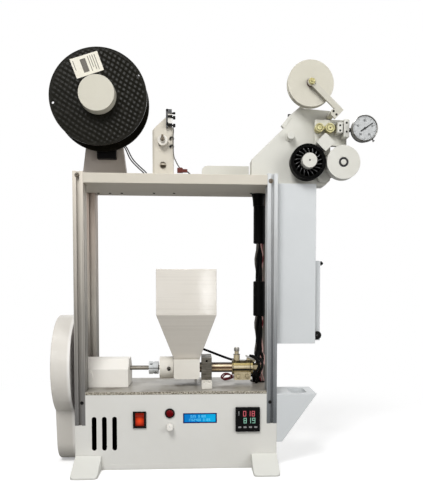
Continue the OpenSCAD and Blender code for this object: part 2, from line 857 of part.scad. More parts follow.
module barrel() color(steel) placed() difference() {
    rod_x(feed_x + feed_w - barrel_in, heater_end_x, shaft_y, shaft_z, barrel_d);
    rod_x(feed_x, heater_end_x + cut, shaft_y, shaft_z, barrel_bore_d);
}

module heater_band() color(brass) placed() {
    ear_x = heater_x + (heater_l - heater_ear_w) / 2;
    difference() {
        union() {
            rod_x(heater_x, heater_end_x, shaft_y, shaft_z, heater_d);
            block([ear_x, shaft_y - heater_ear_d / 2, shaft_z - heater_d / 2 - heater_ear_drop],
                [heater_ear_w, heater_ear_d, heater_ear_h]);
            rod_z(terminal_x, shaft_y, shaft_z, heater_top_z + terminal_nut_h, terminal_nut_d);
            rod_z(terminal_x, shaft_y, shaft_z, heater_top_z + terminal_nut_h + terminal_screw_h,
                terminal_screw_d);
            block([heater_end_x + heater_clip_over - heater_clip_l, shaft_y - heater_clip_w / 2,
                    heater_top_z - heater_clip_h],
                [heater_clip_l, heater_clip_w, 2 * heater_clip_h]);
        }
        rod_x(heater_x - cut, heater_end_x + heater_clip_over + cut, shaft_y, shaft_z, barrel_d);
    }
}
heater_top_z = shaft_z + heater_d / 2;

module nozzle() color(brass) placed() difference() {
    union() {
        translate([heater_end_x, shaft_y, shaft_z]) rotate([0, 90, 0])
            cylinder(d = nozzle_hex_w, h = nozzle_l, $fn = 6);
        rod_x(heater_end_x, heater_end_x + nozzle_l + nozzle_tip_l, shaft_y, shaft_z, nozzle_tip_d);
    }
    rod_x(heater_end_x - cut, heater_end_x + nozzle_l + nozzle_tip_l + cut, shaft_y, shaft_z,
        nozzle_bore_d);
}

// Places of a route from the point that they start from
function from(start, places) = [for (p = places) start + p];

module heater_leads() color(black) placed() {
    cable(concat(from(bundle_foot, upper_at_bundle), from(heater_end, upper_at_heater)),
        lead_d, lead_sides);
    cable(concat(from(bundle_foot, lower_at_bundle), from(heater_end, lower_at_heater)),
        lead_d, lead_sides);
    cable(concat(from(heater_start, rear_at_heater), from(rear_hole, rear_at_plate)), lead_d, lead_sides);
    cable(from(heater_start, probe_at_heater), probe_lead_d, lead_sides);
}

module cable_bundle() color(black) placed() {
    rod_z(bundle_x, bundle_y, bundle_low_z, bundle_top_z, bundle_d);
    for (s = sleeve_shares)
        rod_z(bundle_x, bundle_y, bundle_low_z + s[0] * bundle_l, bundle_low_z + s[1] * bundle_l, sleeve_d);
    translate([bundle_x, bundle_y, bundle_top_z])
        cylinder(d1 = bundle_d, d2 = bundle_mouth_d, h = deck_bottom - bundle_top_z);
}

// Pedestal in front view: straight flanks up to a round head about the spool's axis
spool_back_y = spool_y + spool_w;
winder_y = spool_back_y + winder_gap;
pedestal_y = winder_y + winder_t;
module spool_pedestal() color(paint) placed() difference() {
    front_form(pedestal_y, pedestal_y + pedestal_t) {
        translate([spool_x, spool_z]) circle(d = pedestal_top_w);
        translate([spool_x, deck_top]) polygon([
            [-pedestal_foot_w / 2, 0], [pedestal_foot_w / 2, 0],
            [pedestal_top_w / 2, spool_rise], [-pedestal_top_w / 2, spool_rise]
        ]);
    }
    rod_y(spool_x, pedestal_y - cut, pedestal_y + cap_shaft_l, spool_z, cap_shaft_d + 2 * run_fit);
}

module winder_drive() color(black) placed() difference() {
    front_form(winder_y, pedestal_y) {
        translate([spool_x, spool_z]) circle(d = winder_w);
        translate([spool_x + winder_shift - winder_w / 2, winder_low_z])
            square([winder_w, spool_z - winder_low_z]);
    }
    rod_y(spool_x, winder_y - cut, pedestal_y + cut, spool_z, cap_shaft_d + 2 * run_fit);
}

// Spool flange with a bore for the hub and two lug holes near its rim
module spool_flange(y) difference() {
    rod_y(spool_x, y, y + flange_t, spool_z, spool_d, $fn = 128);
    rod_y(spool_x, y - cut, y + flange_t + cut, spool_z, spool_bore_d);
    for (a = spool_lug_turns)
        rod_y(spool_x + spool_lug_share * spool_d / 2 * cos(a), y - cut, y + flange_t + cut,
            spool_z + spool_lug_share * spool_d / 2 * sin(a), spool_lug_d);
}
module spool_front_flange() color(black) placed() spool_flange(spool_y);
module spool_rear_flange() color(black) placed() spool_flange(spool_back_y - flange_t);

module spool_drum() color(black) placed() difference() {
    rod_y(spool_x, spool_y + flange_t, spool_back_y - flange_t, spool_z, drum_d);
    rod_y(spool_x, spool_y, spool_back_y, spool_z, spool_bore_d);
}

// Hub cap, the core that fills the spool's bore, and the driven shaft behind it
module hub_cap() color(paint) placed() {
    translate([spool_x, spool_y, spool_z]) rotate([90, 0, 0])
        cylinder(d1 = cap_d, d2 = cap_d * cap_lip_share, h = cap_l);
    rod_y(spool_x, spool_y, spool_back_y, spool_z, spool_bore_d - 2 * set_fit);
    rod_y(spool_x, spool_back_y, pedestal_y + cap_shaft_l, spool_z, cap_shaft_d);
}

// Guide post: a pillar with a peak behind the limit switch, a cut left edge and the roller's pin
module guide_post() color(paint) placed() {
    difference() {
        front_form(post_y, post_y + post_d) translate([post_x, deck_top]) polygon([
            [-post_w / 2, 0], [post_w / 2, 0], [post_w / 2, post_h],
            [post_peak_x + post_peak_w, post_h + post_peak_h], [post_peak_x, post_h + post_peak_h],
            [post_ear_in - post_w / 2, post_h + post_ear_h], [-post_w / 2, post_h]
        ]);
        translate([post_x - post_w / 2, post_y, deck_top - cut])
            linear_extrude(post_h + post_peak_h + 2 * cut)
                polygon([[-cut, -cut], [post_edge + cut, -cut], [-cut, post_edge + cut]]);
    }
    rod_y(post_x, roller_y - roller_gap, post_y, roller_z, roller_pin_d);
    rod_y(post_x, roller_y - roller_gap - roller_head_t, roller_y - roller_gap, roller_z, roller_head_d);
}
roller_y = post_y - roller_gap - roller_w;

module guide_roller() color(paint) placed() difference() {
    rod_y(post_x, roller_y, roller_y + roller_w, roller_z, roller_d);
    rod_y(post_x, roller_y - cut, roller_y + roller_w + cut, roller_z, roller_pin_d + 2 * run_fit);
}

module limit_switch() color(black) placed()
    block([post_x + switch_box_in, post_y - switch_box_t, deck_top + switch_box_rise],
        [switch_box_w, switch_box_t, switch_box_h]);

// Leads that end in the deck: the winder's pair, and the switch's lead with its connector and tail
module deck_leads() color(black) placed() {
    pedestal_foot = [spool_x, pedestal_y, deck_top];
    post_foot = [post_x, post_y, deck_top];
    cable(from(pedestal_foot, near_winder_lead), deck_lead_d, lead_sides);
    cable(from(pedestal_foot, far_winder_lead), deck_lead_d, lead_sides);
    cable(from(post_foot, switch_lead), deck_lead_d, lead_sides);
    cable(from(post_foot, connector_tail), deck_lead_d, lead_sides);
    block(post_foot + [connector_in, -connector_w / 2, connector_low],
        [connector_l, connector_w, connector_h]);
}

module deck_box() color(paint) placed() front_form(deck_box_y, deck_box_y + deck_box_d)
    translate([deck_box_x, deck_top]) {
        square([deck_box_w, deck_box_h - deck_box_r]);
        translate([deck_box_r, 0]) square([deck_box_w - deck_box_r, deck_box_h]);
        translate([deck_box_r, deck_box_h - deck_box_r]) circle(deck_box_r);
    }

module puller_housing() color(paint) at_head() difference() {
    union() {
        front_form(head_y, head_y + head_d) polygon([
            [head_left_x, 0], [head_left_x, head_sill_z], [head_slope_x, head_slope_z],
            [head_neck_x, head_neck_z], [head_peak_x, head_peak_z], [head_crown_x, head_crown_z],
            [head_right_x, head_right_z], [head_right_x, head_corner - side_drop],
            [head_right_x - head_corner, -side_drop], [0, -side_drop], [0, 0]
        ]);
        rod_y(pin_x, head_y - pin_l, head_y, pin_z, pin_d);
        rod_y(pin_x, head_y - pin_flange_t, head_y, pin_z, pin_flange_d);
    }
    rod_y(drive_x, head_y - cut, head_y + drive_hub_l, drive_z, drive_shaft_d + 2 * run_fit);
}

// Bent arm in front of the guide wheel, with a spacer back to the puller housing
module guide_arm() color(paint) at_head() difference() {
    union() {
        front_form(arm_y, arm_y + arm_t) translate([guide_x, guide_z]) rotate(arm_turn) {
            circle(arm_tip_r);
            translate([0, -arm_w / 2]) square([arm_l + arm_w / 2, arm_w]);
            translate([arm_l - arm_w / 2, -arm_heel_l]) square([arm_w, arm_heel_l]);
        }
        rod_y(arm_spacer_x, arm_y, head_y, arm_spacer_z, arm_spacer_d);
    }
    rod_y(guide_x, arm_y - cut, arm_y + arm_t + cut, guide_z, guide_axle_d);
}

guide_back_y = guide_wheel_y + guide_wheel_w;
module guide_axle() color(brass) at_head() {
    rod_y(guide_x, arm_y, guide_back_y + guide_washer_t, guide_z, guide_axle_d);
    rod_y(guide_x, arm_y - guide_head_t, arm_y, guide_z, guide_head_d);
    rod_y(guide_x, guide_back_y + set_fit, guide_back_y + guide_washer_t, guide_z, guide_washer_d);
}

// Guide wheel turned with a round groove for the filament
module guide_wheel() color(paint) at_head() translate([guide_x, guide_back_y, guide_z]) rotate([90, 0, 0])
    rotate_extrude($fn = 96) difference() {
        translate([guide_axle_d / 2 + run_fit, 0])
            square([guide_wheel_d / 2 - guide_axle_d / 2 - run_fit, guide_wheel_w]);
        translate([guide_wheel_d / 2, guide_wheel_w / 2]) circle(guide_groove, $fn = 32);
    }

module gauge_bracket() color(cool_paint) at_head() {
    block([bracket_left_x, bracket_y, bracket_low_z],
        [bracket_right_x - bracket_left_x, head_y - bracket_y, bracket_high_z - bracket_low_z]);
    block([near_block_x, gauge_block_y, near_block_z], [near_block_w, gauge_block_d, near_block_h]);
    block([far_block_x, gauge_block_y, far_block_z], [far_block_w, gauge_block_d, far_block_h]);
}

module gauge_rollers() color(brass) at_head() {
    rod_y(left_roller_x, roller_front_y, bracket_y, roller_line_z, left_roller_d);
    rod_y(right_roller_x, roller_front_y, bracket_y, roller_line_z, right_roller_d);
    rod_x(roller_rod_x, near_block_x, (roller_front_y + bracket_y) / 2, roller_line_z, roller_rod_d);
}

module dial_gauge() color(alloy) at_head() {
    difference() {
        rod_y(gauge_x, gauge_y, gauge_y + gauge_bezel_t, gauge_z, gauge_d);
        rod_y(gauge_x, gauge_y - cut, gauge_y + gauge_glass_in, gauge_z, gauge_d - 2 * gauge_lip);
    }
    rod_y(gauge_x, gauge_y + gauge_bezel_t, gauge_y + gauge_bezel_t + gauge_body_t, gauge_z,
        gauge_d * gauge_body_share);
    rod_x(far_block_x + far_block_w, gauge_x, gauge_stem_y, gauge_z, gauge_stem_d);
}

module filament_guide() color(paint) at_head() difference() {
    translate([guide_block_x, 0, guide_block_z]) rotate([0, 45, 0]) front_form(guide_block_y, bracket_y)
        round_rect(guide_block_w, guide_block_w, guide_block_r);
    rod_z(nip_x, wheel_y + drive_wheel_w / 2, guide_block_z - guide_block_w, guide_block_z + guide_block_w,
        guide_block_hole_d);
}

// Drive wheel: a rim and a boss joined by a web with leaning fins in front
module drive_wheel() color(black) at_head()
    translate([drive_x, wheel_y + drive_wheel_w, drive_z]) rotate([90, 0, 0]) {
    difference() {
        cylinder(d = drive_wheel_d, h = drive_wheel_w, $fn = 96);
        translate([0, 0, drive_web_t]) cylinder(d = drive_wheel_d - 2 * drive_rim_t, h = drive_wheel_w);
        translate([0, 0, -cut]) cylinder(d = drive_hub_d, h = drive_wheel_w + 2 * cut);
    }
    intersection() {
        difference() {
            cylinder(d = drive_wheel_d - drive_rim_t, h = drive_wheel_w - drive_rim_t / 2);
            translate([0, 0, -cut]) cylinder(d = drive_hub_d, h = drive_wheel_w + 2 * cut);
        }
        for (i = [0:drive_fin_n - 1]) rotate(360 * i / drive_fin_n) translate([drive_hub_d / 2, 0])
            rotate(drive_fin_lean) translate([-drive_fin_t, -drive_fin_t / 2])
                cube([drive_wheel_d / 2, drive_fin_t, drive_wheel_w]);
    }
}

module drive_hub() color(paint) at_head() {
    rod_y(drive_x, wheel_y + drive_wheel_w - drive_hub_l, wheel_y + drive_wheel_w, drive_z,
        drive_hub_d - 2 * set_fit);
    rod_y(drive_x, wheel_y + drive_wheel_w, head_y + drive_hub_l - cut, drive_z, drive_shaft_d);
}

module idler_wheel() color(paint) at_head() difference() {
    rod_y(idler_x, wheel_y, wheel_y + idler_wheel_w, idler_z, idler_wheel_d, $fn = 96);
    rod_y(idler_x, wheel_y - cut, wheel_y + idler_cap_in, idler_z, idler_bearing_d);
    rod_y(idler_x, wheel_y - cut, wheel_y + idler_wheel_w + cut, idler_z, idler_pin_d + 2 * run_fit);
}

// Arm that carries the idler's pin
idler_arm_y = head_y - idler_arm_t;
idler_reach = [idler_x - idler_foot_x, idler_z - idler_foot_z];
idler_arm_turn = atan2(idler_reach[1], idler_reach[0]);
module idler_arm() color(paint) at_head() {
    front_form(idler_arm_y, head_y) {
        translate([idler_x, idler_z]) circle(idler_arm_r);
        translate([idler_foot_x, idler_foot_z]) rotate(idler_arm_turn) translate([0, -idler_arm_r])
            square([norm(idler_reach), 2 * idler_arm_r]);
        translate([idler_foot_x, idler_foot_z]) circle(idler_arm_r);
    }
    rod_y(idler_x, wheel_y, idler_arm_y, idler_z, idler_pin_d);
}

module side_box() color(cool_paint) placed()
    block([side_x, side_box_y, side_box_low], [side_box_w, side_box_d, side_box_h]);

module side_plate() color(cool_paint) placed() {
    block([side_end_x, side_plate_y, side_plate_low], [side_plate_w, side_plate_t, side_plate_h]);
    rod_y(side_end_x + side_plate_w / 2, side_plate_y - grommet_l, side_plate_y,
        side_plate_low + grommet_up, side_plate_w);
}

module filament_chute() color(cool_paint) placed() difference() {
    front_form(0, chute_d) polygon([
        [side_x, chute_top], [side_x + chute_w, chute_top], [side_x + chute_low_w, chute_top - chute_h],
        [side_x, chute_top - chute_h]
    ]);
    translate([chute_pocket_x, chute_pocket_y, chute_top - chute_pocket_depth])
        linear_extrude(chute_pocket_depth + cut) round_rect(chute_pocket_w, chute_pocket_l, chute_pocket_r);
}

base_housing();
base_plate();
foot_front_left();
foot_front_right();
foot_rear_left();
foot_rear_right();
column_front_left();
column_front_right();
column_rear_left();
column_rear_right();
top_deck();
belt_cover();
belt_flange();
switch_bezel();
switch_rocker();
indicator_lamp();
speed_knob();
lcd_display();
temperature_meter();
gearbox();
drive_shaft();
shaft_coupling();
thrust_collar();
feed_block();
hopper();
barrel_clamp();
clamp_foot();
barrel();
heater_band();
nozzle();
heater_leads();
cable_bundle();
spool_pedestal();
winder_drive();
spool_front_flange();
spool_drum();
spool_rear_flange();
hub_cap();
guide_post();
guide_roller();
limit_switch();
deck_leads();
deck_box();
puller_housing();
guide_arm();
guide_axle();
guide_wheel();
gauge_bracket();
gauge_rollers();
dial_gauge();
filament_guide();
drive_wheel();
drive_hub();
idler_arm();
idler_wheel();
side_box();
side_plate();
filament_chute();
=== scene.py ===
"""Looks of a desktop filament extruder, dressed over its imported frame."""
import json
from math import cos, pi, radians, sin, sqrt

import bmesh
import bpy
from mathutils import Matrix, Vector

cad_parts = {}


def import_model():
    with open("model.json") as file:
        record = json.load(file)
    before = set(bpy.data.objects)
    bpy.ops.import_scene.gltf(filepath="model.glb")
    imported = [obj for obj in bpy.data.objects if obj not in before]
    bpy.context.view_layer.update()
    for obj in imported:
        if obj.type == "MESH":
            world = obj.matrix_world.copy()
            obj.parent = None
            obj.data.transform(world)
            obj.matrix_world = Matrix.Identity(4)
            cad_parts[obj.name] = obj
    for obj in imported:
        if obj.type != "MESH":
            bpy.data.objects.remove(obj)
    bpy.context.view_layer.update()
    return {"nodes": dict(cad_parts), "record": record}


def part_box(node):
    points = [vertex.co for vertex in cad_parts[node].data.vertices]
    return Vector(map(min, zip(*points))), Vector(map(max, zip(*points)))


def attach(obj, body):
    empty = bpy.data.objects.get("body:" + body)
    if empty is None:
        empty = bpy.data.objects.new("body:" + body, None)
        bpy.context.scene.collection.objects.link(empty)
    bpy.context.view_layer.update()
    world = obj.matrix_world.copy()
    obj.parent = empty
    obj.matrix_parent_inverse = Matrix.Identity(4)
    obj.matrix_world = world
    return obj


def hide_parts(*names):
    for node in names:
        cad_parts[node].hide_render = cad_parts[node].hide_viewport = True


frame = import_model()

# Places are millimetres right of, behind and above the middle of the housing's front edge on the floor
MM = 0.001
FRONT, BACK = (0, -1, 0), (0, 1, 0)
UP, DOWN = (0, 0, 1), (0, 0, -1)
RIGHT = (1, 0, 0)
PLATE_LOW, PLATE_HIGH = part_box("base_plate")
HOME = Vector(((PLATE_LOW.x + PLATE_HIGH.x) / 2, PLATE_LOW.y, 0))


def at(x, y, z):
    """Row-frame point, in metres, of a place in millimetres."""
    return HOME + Vector((x, y, z)) * MM


def extent(node):
    """Lowest and highest corner of a CAD node, in millimetres."""
    return [(corner - HOME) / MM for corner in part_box(node)]


def middle(node):
    """Middle of a CAD node's box, in millimetres."""
    low, high = extent(node)
    return (low + high) / 2


def before(node, out=0, up=0):
    """Place out millimetres in front of a CAD node and up millimetres above its middle."""
    centre = middle(node)
    return Vector((centre.x, extent(node)[0].y - out, centre.z + up))


def put(name, data):
    """New object in the scene."""
    item = bpy.data.objects.new(name, data)
    bpy.context.scene.collection.objects.link(item)
    return item


# Camera at the photograph's viewpoint
VIEW_PIXELS = (423, 500)
VIEW_PLACE = (38.1, -1291.3, 367.3)
VIEW_YAW, VIEW_PITCH, VIEW_ROLL = -3.971, -3.119, 0.139
VIEW_FOCUS_PIXELS = 665.15
VIEW_AXIS_PIXEL = (242.4, 317.7)
FILM_MM = 36


def set_camera():
    right, forward, up = (
        Matrix.Rotation(radians(VIEW_ROLL), 3, "Y")
        @ Matrix.Rotation(-radians(VIEW_PITCH), 3, "X")
        @ Matrix.Rotation(-radians(VIEW_YAW), 3, "Z")
    )
    wide, high = VIEW_PIXELS
    lens = bpy.data.cameras.new("view")
    lens.sensor_width = FILM_MM
    lens.lens = VIEW_FOCUS_PIXELS / high * FILM_MM
    lens.shift_x = (wide / 2 - VIEW_AXIS_PIXEL[0]) / high
    lens.shift_y = (VIEW_AXIS_PIXEL[1] - high / 2) / high
    camera = put("view", lens)
    axes = Matrix((right, up, -forward)).transposed()
    camera.matrix_world = Matrix.Translation(at(*VIEW_PLACE)) @ axes.to_4x4()
    bpy.context.scene.camera = camera


def tone(red, green, blue):
    """Linear colour of an 8-bit display colour."""
    def linear(level):
        share = level / 255
        return share / 12.92 if share <= 0.04045 else ((share + 0.055) / 1.055) ** 2.4
    return (linear(red), linear(green), linear(blue), 1)


def shader_math(operation, swapped=False):
    """Method that adds a Math node for a reading and another value."""
    def method(self, other=0):
        first, second = (other, self) if swapped else (self, other)
        return self.network.add("Math", {0: first, 1: second}, operation=operation)
    return method


class Reading:
    """A value over a surface: arithmetic on it adds Math nodes."""
    __add__ = shader_math("ADD")
    __radd__ = shader_math("ADD", swapped=True)
    __sub__ = shader_math("SUBTRACT")
    __rsub__ = shader_math("SUBTRACT", swapped=True)
    __mul__ = shader_math("MULTIPLY")
    __rmul__ = shader_math("MULTIPLY", swapped=True)
    larger = shader_math("MAXIMUM")
    sine = shader_math("SINE")
    size = shader_math("ABSOLUTE")

    def __init__(self, network, socket):
        self.network = network
        self.socket = socket

    def between(self, low, high):
        """0 at low, 1 at high, held to that range."""
        return self.network.add("MapRange", {0: self, 1: low, 2: high, 3: 0, 4: 1}, clamp=True)


class Network:
    """A node tree in the making."""

    def __init__(self, owner):
        owner.use_nodes = True
        self.tree = owner.node_tree
        self.tree.nodes.clear()

    def add(self, kind, sockets=None, out=0, **settings):
        """Any shader node: its settings first, then the values or links of its sockets."""
        node = self.tree.nodes.new("ShaderNode" + kind)
        for key, value in settings.items():
            if key == "stops":
                self.set_stops(node.color_ramp, value)
            else:
                setattr(node, key, value)
        for key, value in (sockets or {}).items():
            if isinstance(value, Reading):
                self.tree.links.new(value.socket, node.inputs[key])
            else:
                node.inputs[key].default_value = value
        return Reading(self, node.outputs[out]) if node.outputs else None

    @staticmethod
    def set_stops(ramp, stops):
        while len(ramp.elements) < len(stops):
            ramp.elements.new(1)
        for element, (position, colour) in zip(ramp.elements, stops):
            element.position = position
            element.color = tone(*colour)


class Finish(Network):
    """A material in the making. Its colours are 8-bit display colours or readings."""
    SAMPLES = 6

    def __init__(self, name):
        self.material = bpy.data.materials.new(name)
        super().__init__(self.material)
        self.where = self.add("TexCoord", out="Object")

    def stretched(self, x, y, z):
        """The place on the surface, scaled along each axis."""
        return self.add("VectorMath", {0: self.where, 1: (x, y, z)}, operation="MULTIPLY")

    def compared(self, operation, first, second):
        """A number from two vectors."""
        return self.add("VectorMath", {0: first, 1: second}, "Value", operation=operation)

    def cloud(self, scale, detail=3, where=None):
        """Soft noise with that many cycles to the metre."""
        return self.add("TexNoise", {"Vector": where or self.where, "Scale": scale, "Detail": detail})

    def axis(self, name):
        """One coordinate of the place, in millimetres."""
        return self.add("SeparateXYZ", {0: self.where}, out=name) * (1 / MM)

    def near(self, place, reach):
        """1 at a place, falling to 0 at that many millimetres from it."""
        return 1 - self.compared("DISTANCE", self.where, at(*place)).between(0, reach * MM)

    def facing(self, direction):
        """How far the surface faces that way, from -1 to 1."""
        return self.compared("DOT_PRODUCT", self.add("NewGeometry", out="Normal"), direction)

    def ramp(self, share, stops):
        """Colour along a row of stops."""
        return self.add("ValToRGB", {0: share}, stops=stops)

    def mix(self, share, first, second):
        first, second = (c if isinstance(c, Reading) else tone(*c) for c in (first, second))
        return self.add("Mix", {0: share, 6: first, 7: second}, 2, data_type="RGBA")

    def corners(self, reach):
        """1 deep in a corner, 0 in the open."""
        return 1 - self.add("AmbientOcclusion", {"Distance": reach * MM}, "AO", samples=self.SAMPLES)

    def edges(self, radius):
        """1 on a sharp edge, 0 on a flat."""
        rounded = self.add("Bevel", {"Radius": radius * MM}, samples=self.SAMPLES)
        flat = self.add("NewGeometry", out="True Normal")
        return (1 - self.compared("DOT_PRODUCT", rounded, flat)).between(0.01, 0.12)

    def bump(self, height, depth):
        """Normal of a surface raised by height, which goes from 0 to 1, times depth in millimetres."""
        return self.add("Bump", {"Strength": 1, "Distance": depth * MM, "Height": height})

    def surface(self, **sockets):
        """Ends the material in a principled shader with those sockets."""
        named = {key.replace("_", " ").title().replace("Ior", "IOR"): sockets[key] for key in sockets}
        shader = self.add("BsdfPrincipled", named)
        self.add("OutputMaterial", {"Surface": shader})
        return self.material


def painted(name, colour, shade, rough=0.5, layers=0.4, shine=0.3, bands=0.0, painted_highlight_x=None):
    """Satin paint: faint clouds of a second tone, painted shade in corners, paler edges and fine print
    layers.

    Bands are coarser print layers; faces that look down get painted shade. The last argument is the X of an
    edge whose rounding gets a painted highlight, a pale stripe just inside it.
    """
    finish = Finish(name)
    clouds = finish.cloud(7, 4).between(0.35, 0.7)
    mottle = finish.cloud(70, 3)
    grain = finish.cloud(1600, 2)
    base = finish.mix(0.55 * clouds + 0.25 * mottle, colour, shade)
    # Painted shade: darker towards (112, 104, 94) where the surface sits deep in a corner.
    base = finish.mix(finish.corners(9).between(0.25, 0.95) * 0.4, base, (112, 104, 94))
    base = finish.mix(finish.edges(0.9) * 0.3, base, (244, 242, 236))
    # Painted highlight: a pale stripe just inside a given edge, where its rounding would catch the light.
    if painted_highlight_x is not None:
        base = finish.mix(finish.axis("X").between(painted_highlight_x - 7, painted_highlight_x - 3) * 0.7, base, (250, 247, 243))
    base = finish.mix(grain.between(0.66, 0.72) * 0.12, base, (130, 124, 114))
    relief = 0.6 * mottle + (0.02 if bands else 0.4) * grain
    if layers:
        relief = relief + 0.5 * (finish.axis("Z") * (2 * pi / layers)).sine()
    if bands:
        strata = finish.cloud(1, 3, finish.stretched(4, 4, 240))
        relief = relief + bands * strata
        # Painted shade on faces that look down, varied by the bands.
        underside_shade = finish.facing(DOWN).between(0.1, 0.4) * (0.75 + 0.25 * strata)
        base = finish.mix(underside_shade * 0.3, base, (120, 112, 100))
        base = finish.mix(strata.between(0.54, 0.64) * 0.07, base, (150, 142, 132))
    return finish.surface(
        base_color=base,
        roughness=rough + 0.12 * mottle - 0.05,
        specular_ior_level=shine,
        normal=finish.bump(relief, 0.06),
    )


def drawn_alloy(name, colour, shade, top, foot, groove_shade):
    """Drawn aluminium: fine streaks along the length, a painted reflection graded from its foot colour up to
    its top colour, and painted shade in its grooves.
    """
    finish = Finish(name)
    streaks = finish.cloud(1, 4, finish.stretched(900, 900, 5))
    base = finish.mix(streaks.between(0.3, 0.72), shade, colour)
    base = finish.mix(finish.cloud(14, 3).between(0.5, 0.8) * 0.4, base, (104, 101, 96))
    # Painted reflection: towards the top colour high up and towards the foot colour low down.
    base = finish.mix(finish.axis("Z").between(300, 560) * 0.6, base, top)
    base = finish.mix(finish.axis("Z").between(330, 90) * 0.65, base, foot)
    base = finish.mix(finish.edges(0.7) * 0.6, base, (216, 213, 206))
    # Painted shade in the slots and corners.
    base = finish.mix(finish.corners(7).between(0.2, 0.9) * 0.55, base, groove_shade)
    return finish.surface(
        base_color=base,
        metallic=0.55,
        roughness=0.36 + 0.22 * streaks,
        normal=finish.bump(streaks, 0.05),
    )


def worn_plate(name):
    """Ground plate: brushed grey top with stains, and a chipped, speckled edge."""
    finish = Finish(name)
    brushed = finish.cloud(1, 4, finish.stretched(12, 900, 900))
    stains = finish.cloud(22, 5).between(0.5, 0.75)
    chips = finish.cloud(420, 5).between(0.4, 0.62)
    side = 1 - finish.facing(UP).size().between(0.3, 0.7)
    top = finish.mix(brushed, (136, 131, 122), (164, 160, 150))
    top = finish.mix(stains * 0.6, top, (98, 90, 78))
    rim = finish.mix(chips, (96, 88, 74), (198, 192, 176))
    base = finish.mix(side, top, rim)
    # Painted shade: darker where parts stand on the plate and in its corners.
    base = finish.mix(finish.corners(16).between(0.2, 0.95) * 0.5, base, (84, 78, 70))
    return finish.surface(
        base_color=base,
        metallic=0.2,
        roughness=0.36 + 0.25 * stains + 0.2 * side,
        normal=finish.bump(brushed + chips * side * 3, 0.05),
    )


def bare_metal(name, colour, shade, along=(900, 900, 900), rough=0.3, metallic=0.95, gleam=0.3):
    """Turned or brushed metal with tarnish clouds, a painted sheen along its brush marks, bright edges and
    painted shade in its corners.
    """
    finish = Finish(name)
    brushed = finish.cloud(1, 3, finish.stretched(*along))
    tarnish = finish.cloud(90, 5).between(0.38, 0.66)
    base = finish.mix(tarnish, colour, shade)
    # Painted sheen: brush streaks lightened by gleam.
    base = finish.mix(brushed.between(0.35, 0.8) * gleam, base, (214, 208, 196))
    base = finish.mix(finish.edges(0.5) * 0.5, base, (232, 226, 212))
    # Painted shade in corners.
    base = finish.mix(finish.corners(5).between(0.3, 1) * 0.6, base, (24, 21, 18))
    return finish.surface(
        base_color=base,
        metallic=metallic,
        roughness=rough + 0.25 * tarnish,
        normal=finish.bump(brushed, 0.03),
    )


def polished(name, stops, rough=0.25):
    """Polished round stock: painted reflections in bands of tone from its underside to its top, faint
    scratches and painted shade in its corners.
    """
    finish = Finish(name)
    scratches = finish.cloud(1, 3, finish.stretched(25, 1200, 1200))
    tarnish = finish.cloud(120, 4).between(0.4, 0.7)
    # Painted reflections: the stops run from the underside's tone to the top's.
    base = finish.ramp(finish.facing(UP) * 0.5 + 0.5 + 0.03 * scratches, stops)
    base = finish.mix(tarnish * 0.35, base, (74, 60, 36))
    # Painted shade in corners.
    base = finish.mix(finish.corners(5).between(0.3, 1) * 0.6, base, (20, 17, 12))
    return finish.surface(
        base_color=base,
        metallic=0.2,
        roughness=rough + 0.2 * tarnish,
        normal=finish.bump(scratches, 0.03),
    )


def moulded(name, colour, shade, rough=0.42, grain_size=700, dust_share=0.1, shine=0.2):
    """Moulded plastic: fine grain, dust and greyed edges."""
    finish = Finish(name)
    grain = finish.cloud(grain_size, 3)
    dust = finish.cloud(120, 5).between(0.55, 0.8)
    base = finish.mix(grain.between(0.3, 0.8), colour, shade)
    base = finish.mix(dust * dust_share, base, (120, 116, 108))
    base = finish.mix(finish.edges(0.6) * 0.2, base, (120, 118, 112))
    return finish.surface(
        base_color=base,
        roughness=rough + 0.2 * dust,
        specular_ior_level=shine,
        normal=finish.bump(grain, 0.06),
    )


def lit(name, colour, glow, place=None, reach=0):
    """A face lit from behind, brightest near a place where it has one."""
    finish = Finish(name)
    grain = finish.cloud(900, 2)
    share = 0.35 * grain
    if place:
        share = share + finish.near(place, reach)
    return finish.surface(
        base_color=[0.15 * level for level in tone(*colour)[:3]] + [1],
        roughness=0.4,
        specular_ior_level=0.06,
        emission_color=finish.mix(share, colour, glow),
        emission_strength=0.9,
        normal=finish.bump(grain, 0.03),
    )


WARM_PAINT = painted("warm_paint", (214, 208, 195), (204, 197, 182))
WHEEL_PAINT = painted("wheel_paint", (208, 204, 190), (199, 195, 179))
# The belt cover's paint gets a painted highlight just inside its right edge.
COVER_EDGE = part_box("belt_cover")[1].x / MM
COVER_PAINT = painted("cover_paint", (229, 225, 217), (221, 216, 207), 0.16, painted_highlight_x=COVER_EDGE)
HOPPER_PAINT = painted(
    "hopper_paint", (228, 223, 214), (219, 213, 202), 0.06, layers=0, shine=0.5, bands=1.4
)
# Lighter copies of the white paint: painted light that lifts the melt line and gearbox out of the deck's
# shade. The speed knob shares the whitest.
LIGHTENED_PAINT = painted("lightened_paint", (232, 228, 219), (223, 218, 207))
WHITE_PAINT = painted("white_paint", (246, 243, 236), (239, 235, 227))
HEAD_PAINT = painted("head_paint", (217, 216, 208), (208, 206, 196))
PANEL_PAINT = painted("panel_paint", (224, 223, 218), (216, 214, 207), layers=0)
FOOT_PAINT = painted("foot_paint", (227, 227, 221), (218, 217, 209), layers=0)
COOL_PAINT = painted("cool_paint", (211, 214, 215), (203, 206, 207), layers=0)
# Darker copy of the head paint for the guide arm: painted shade.
SHADED_ARM_PAINT = painted("shaded_arm_paint", (201, 198, 185), (192, 188, 174))
# Grey for the spool's pedestal: painted shade, the white paint as it looks under the spool.
SHADE_GREY_PAINT = painted("shade_grey_paint", (192, 183, 175), (176, 167, 159))
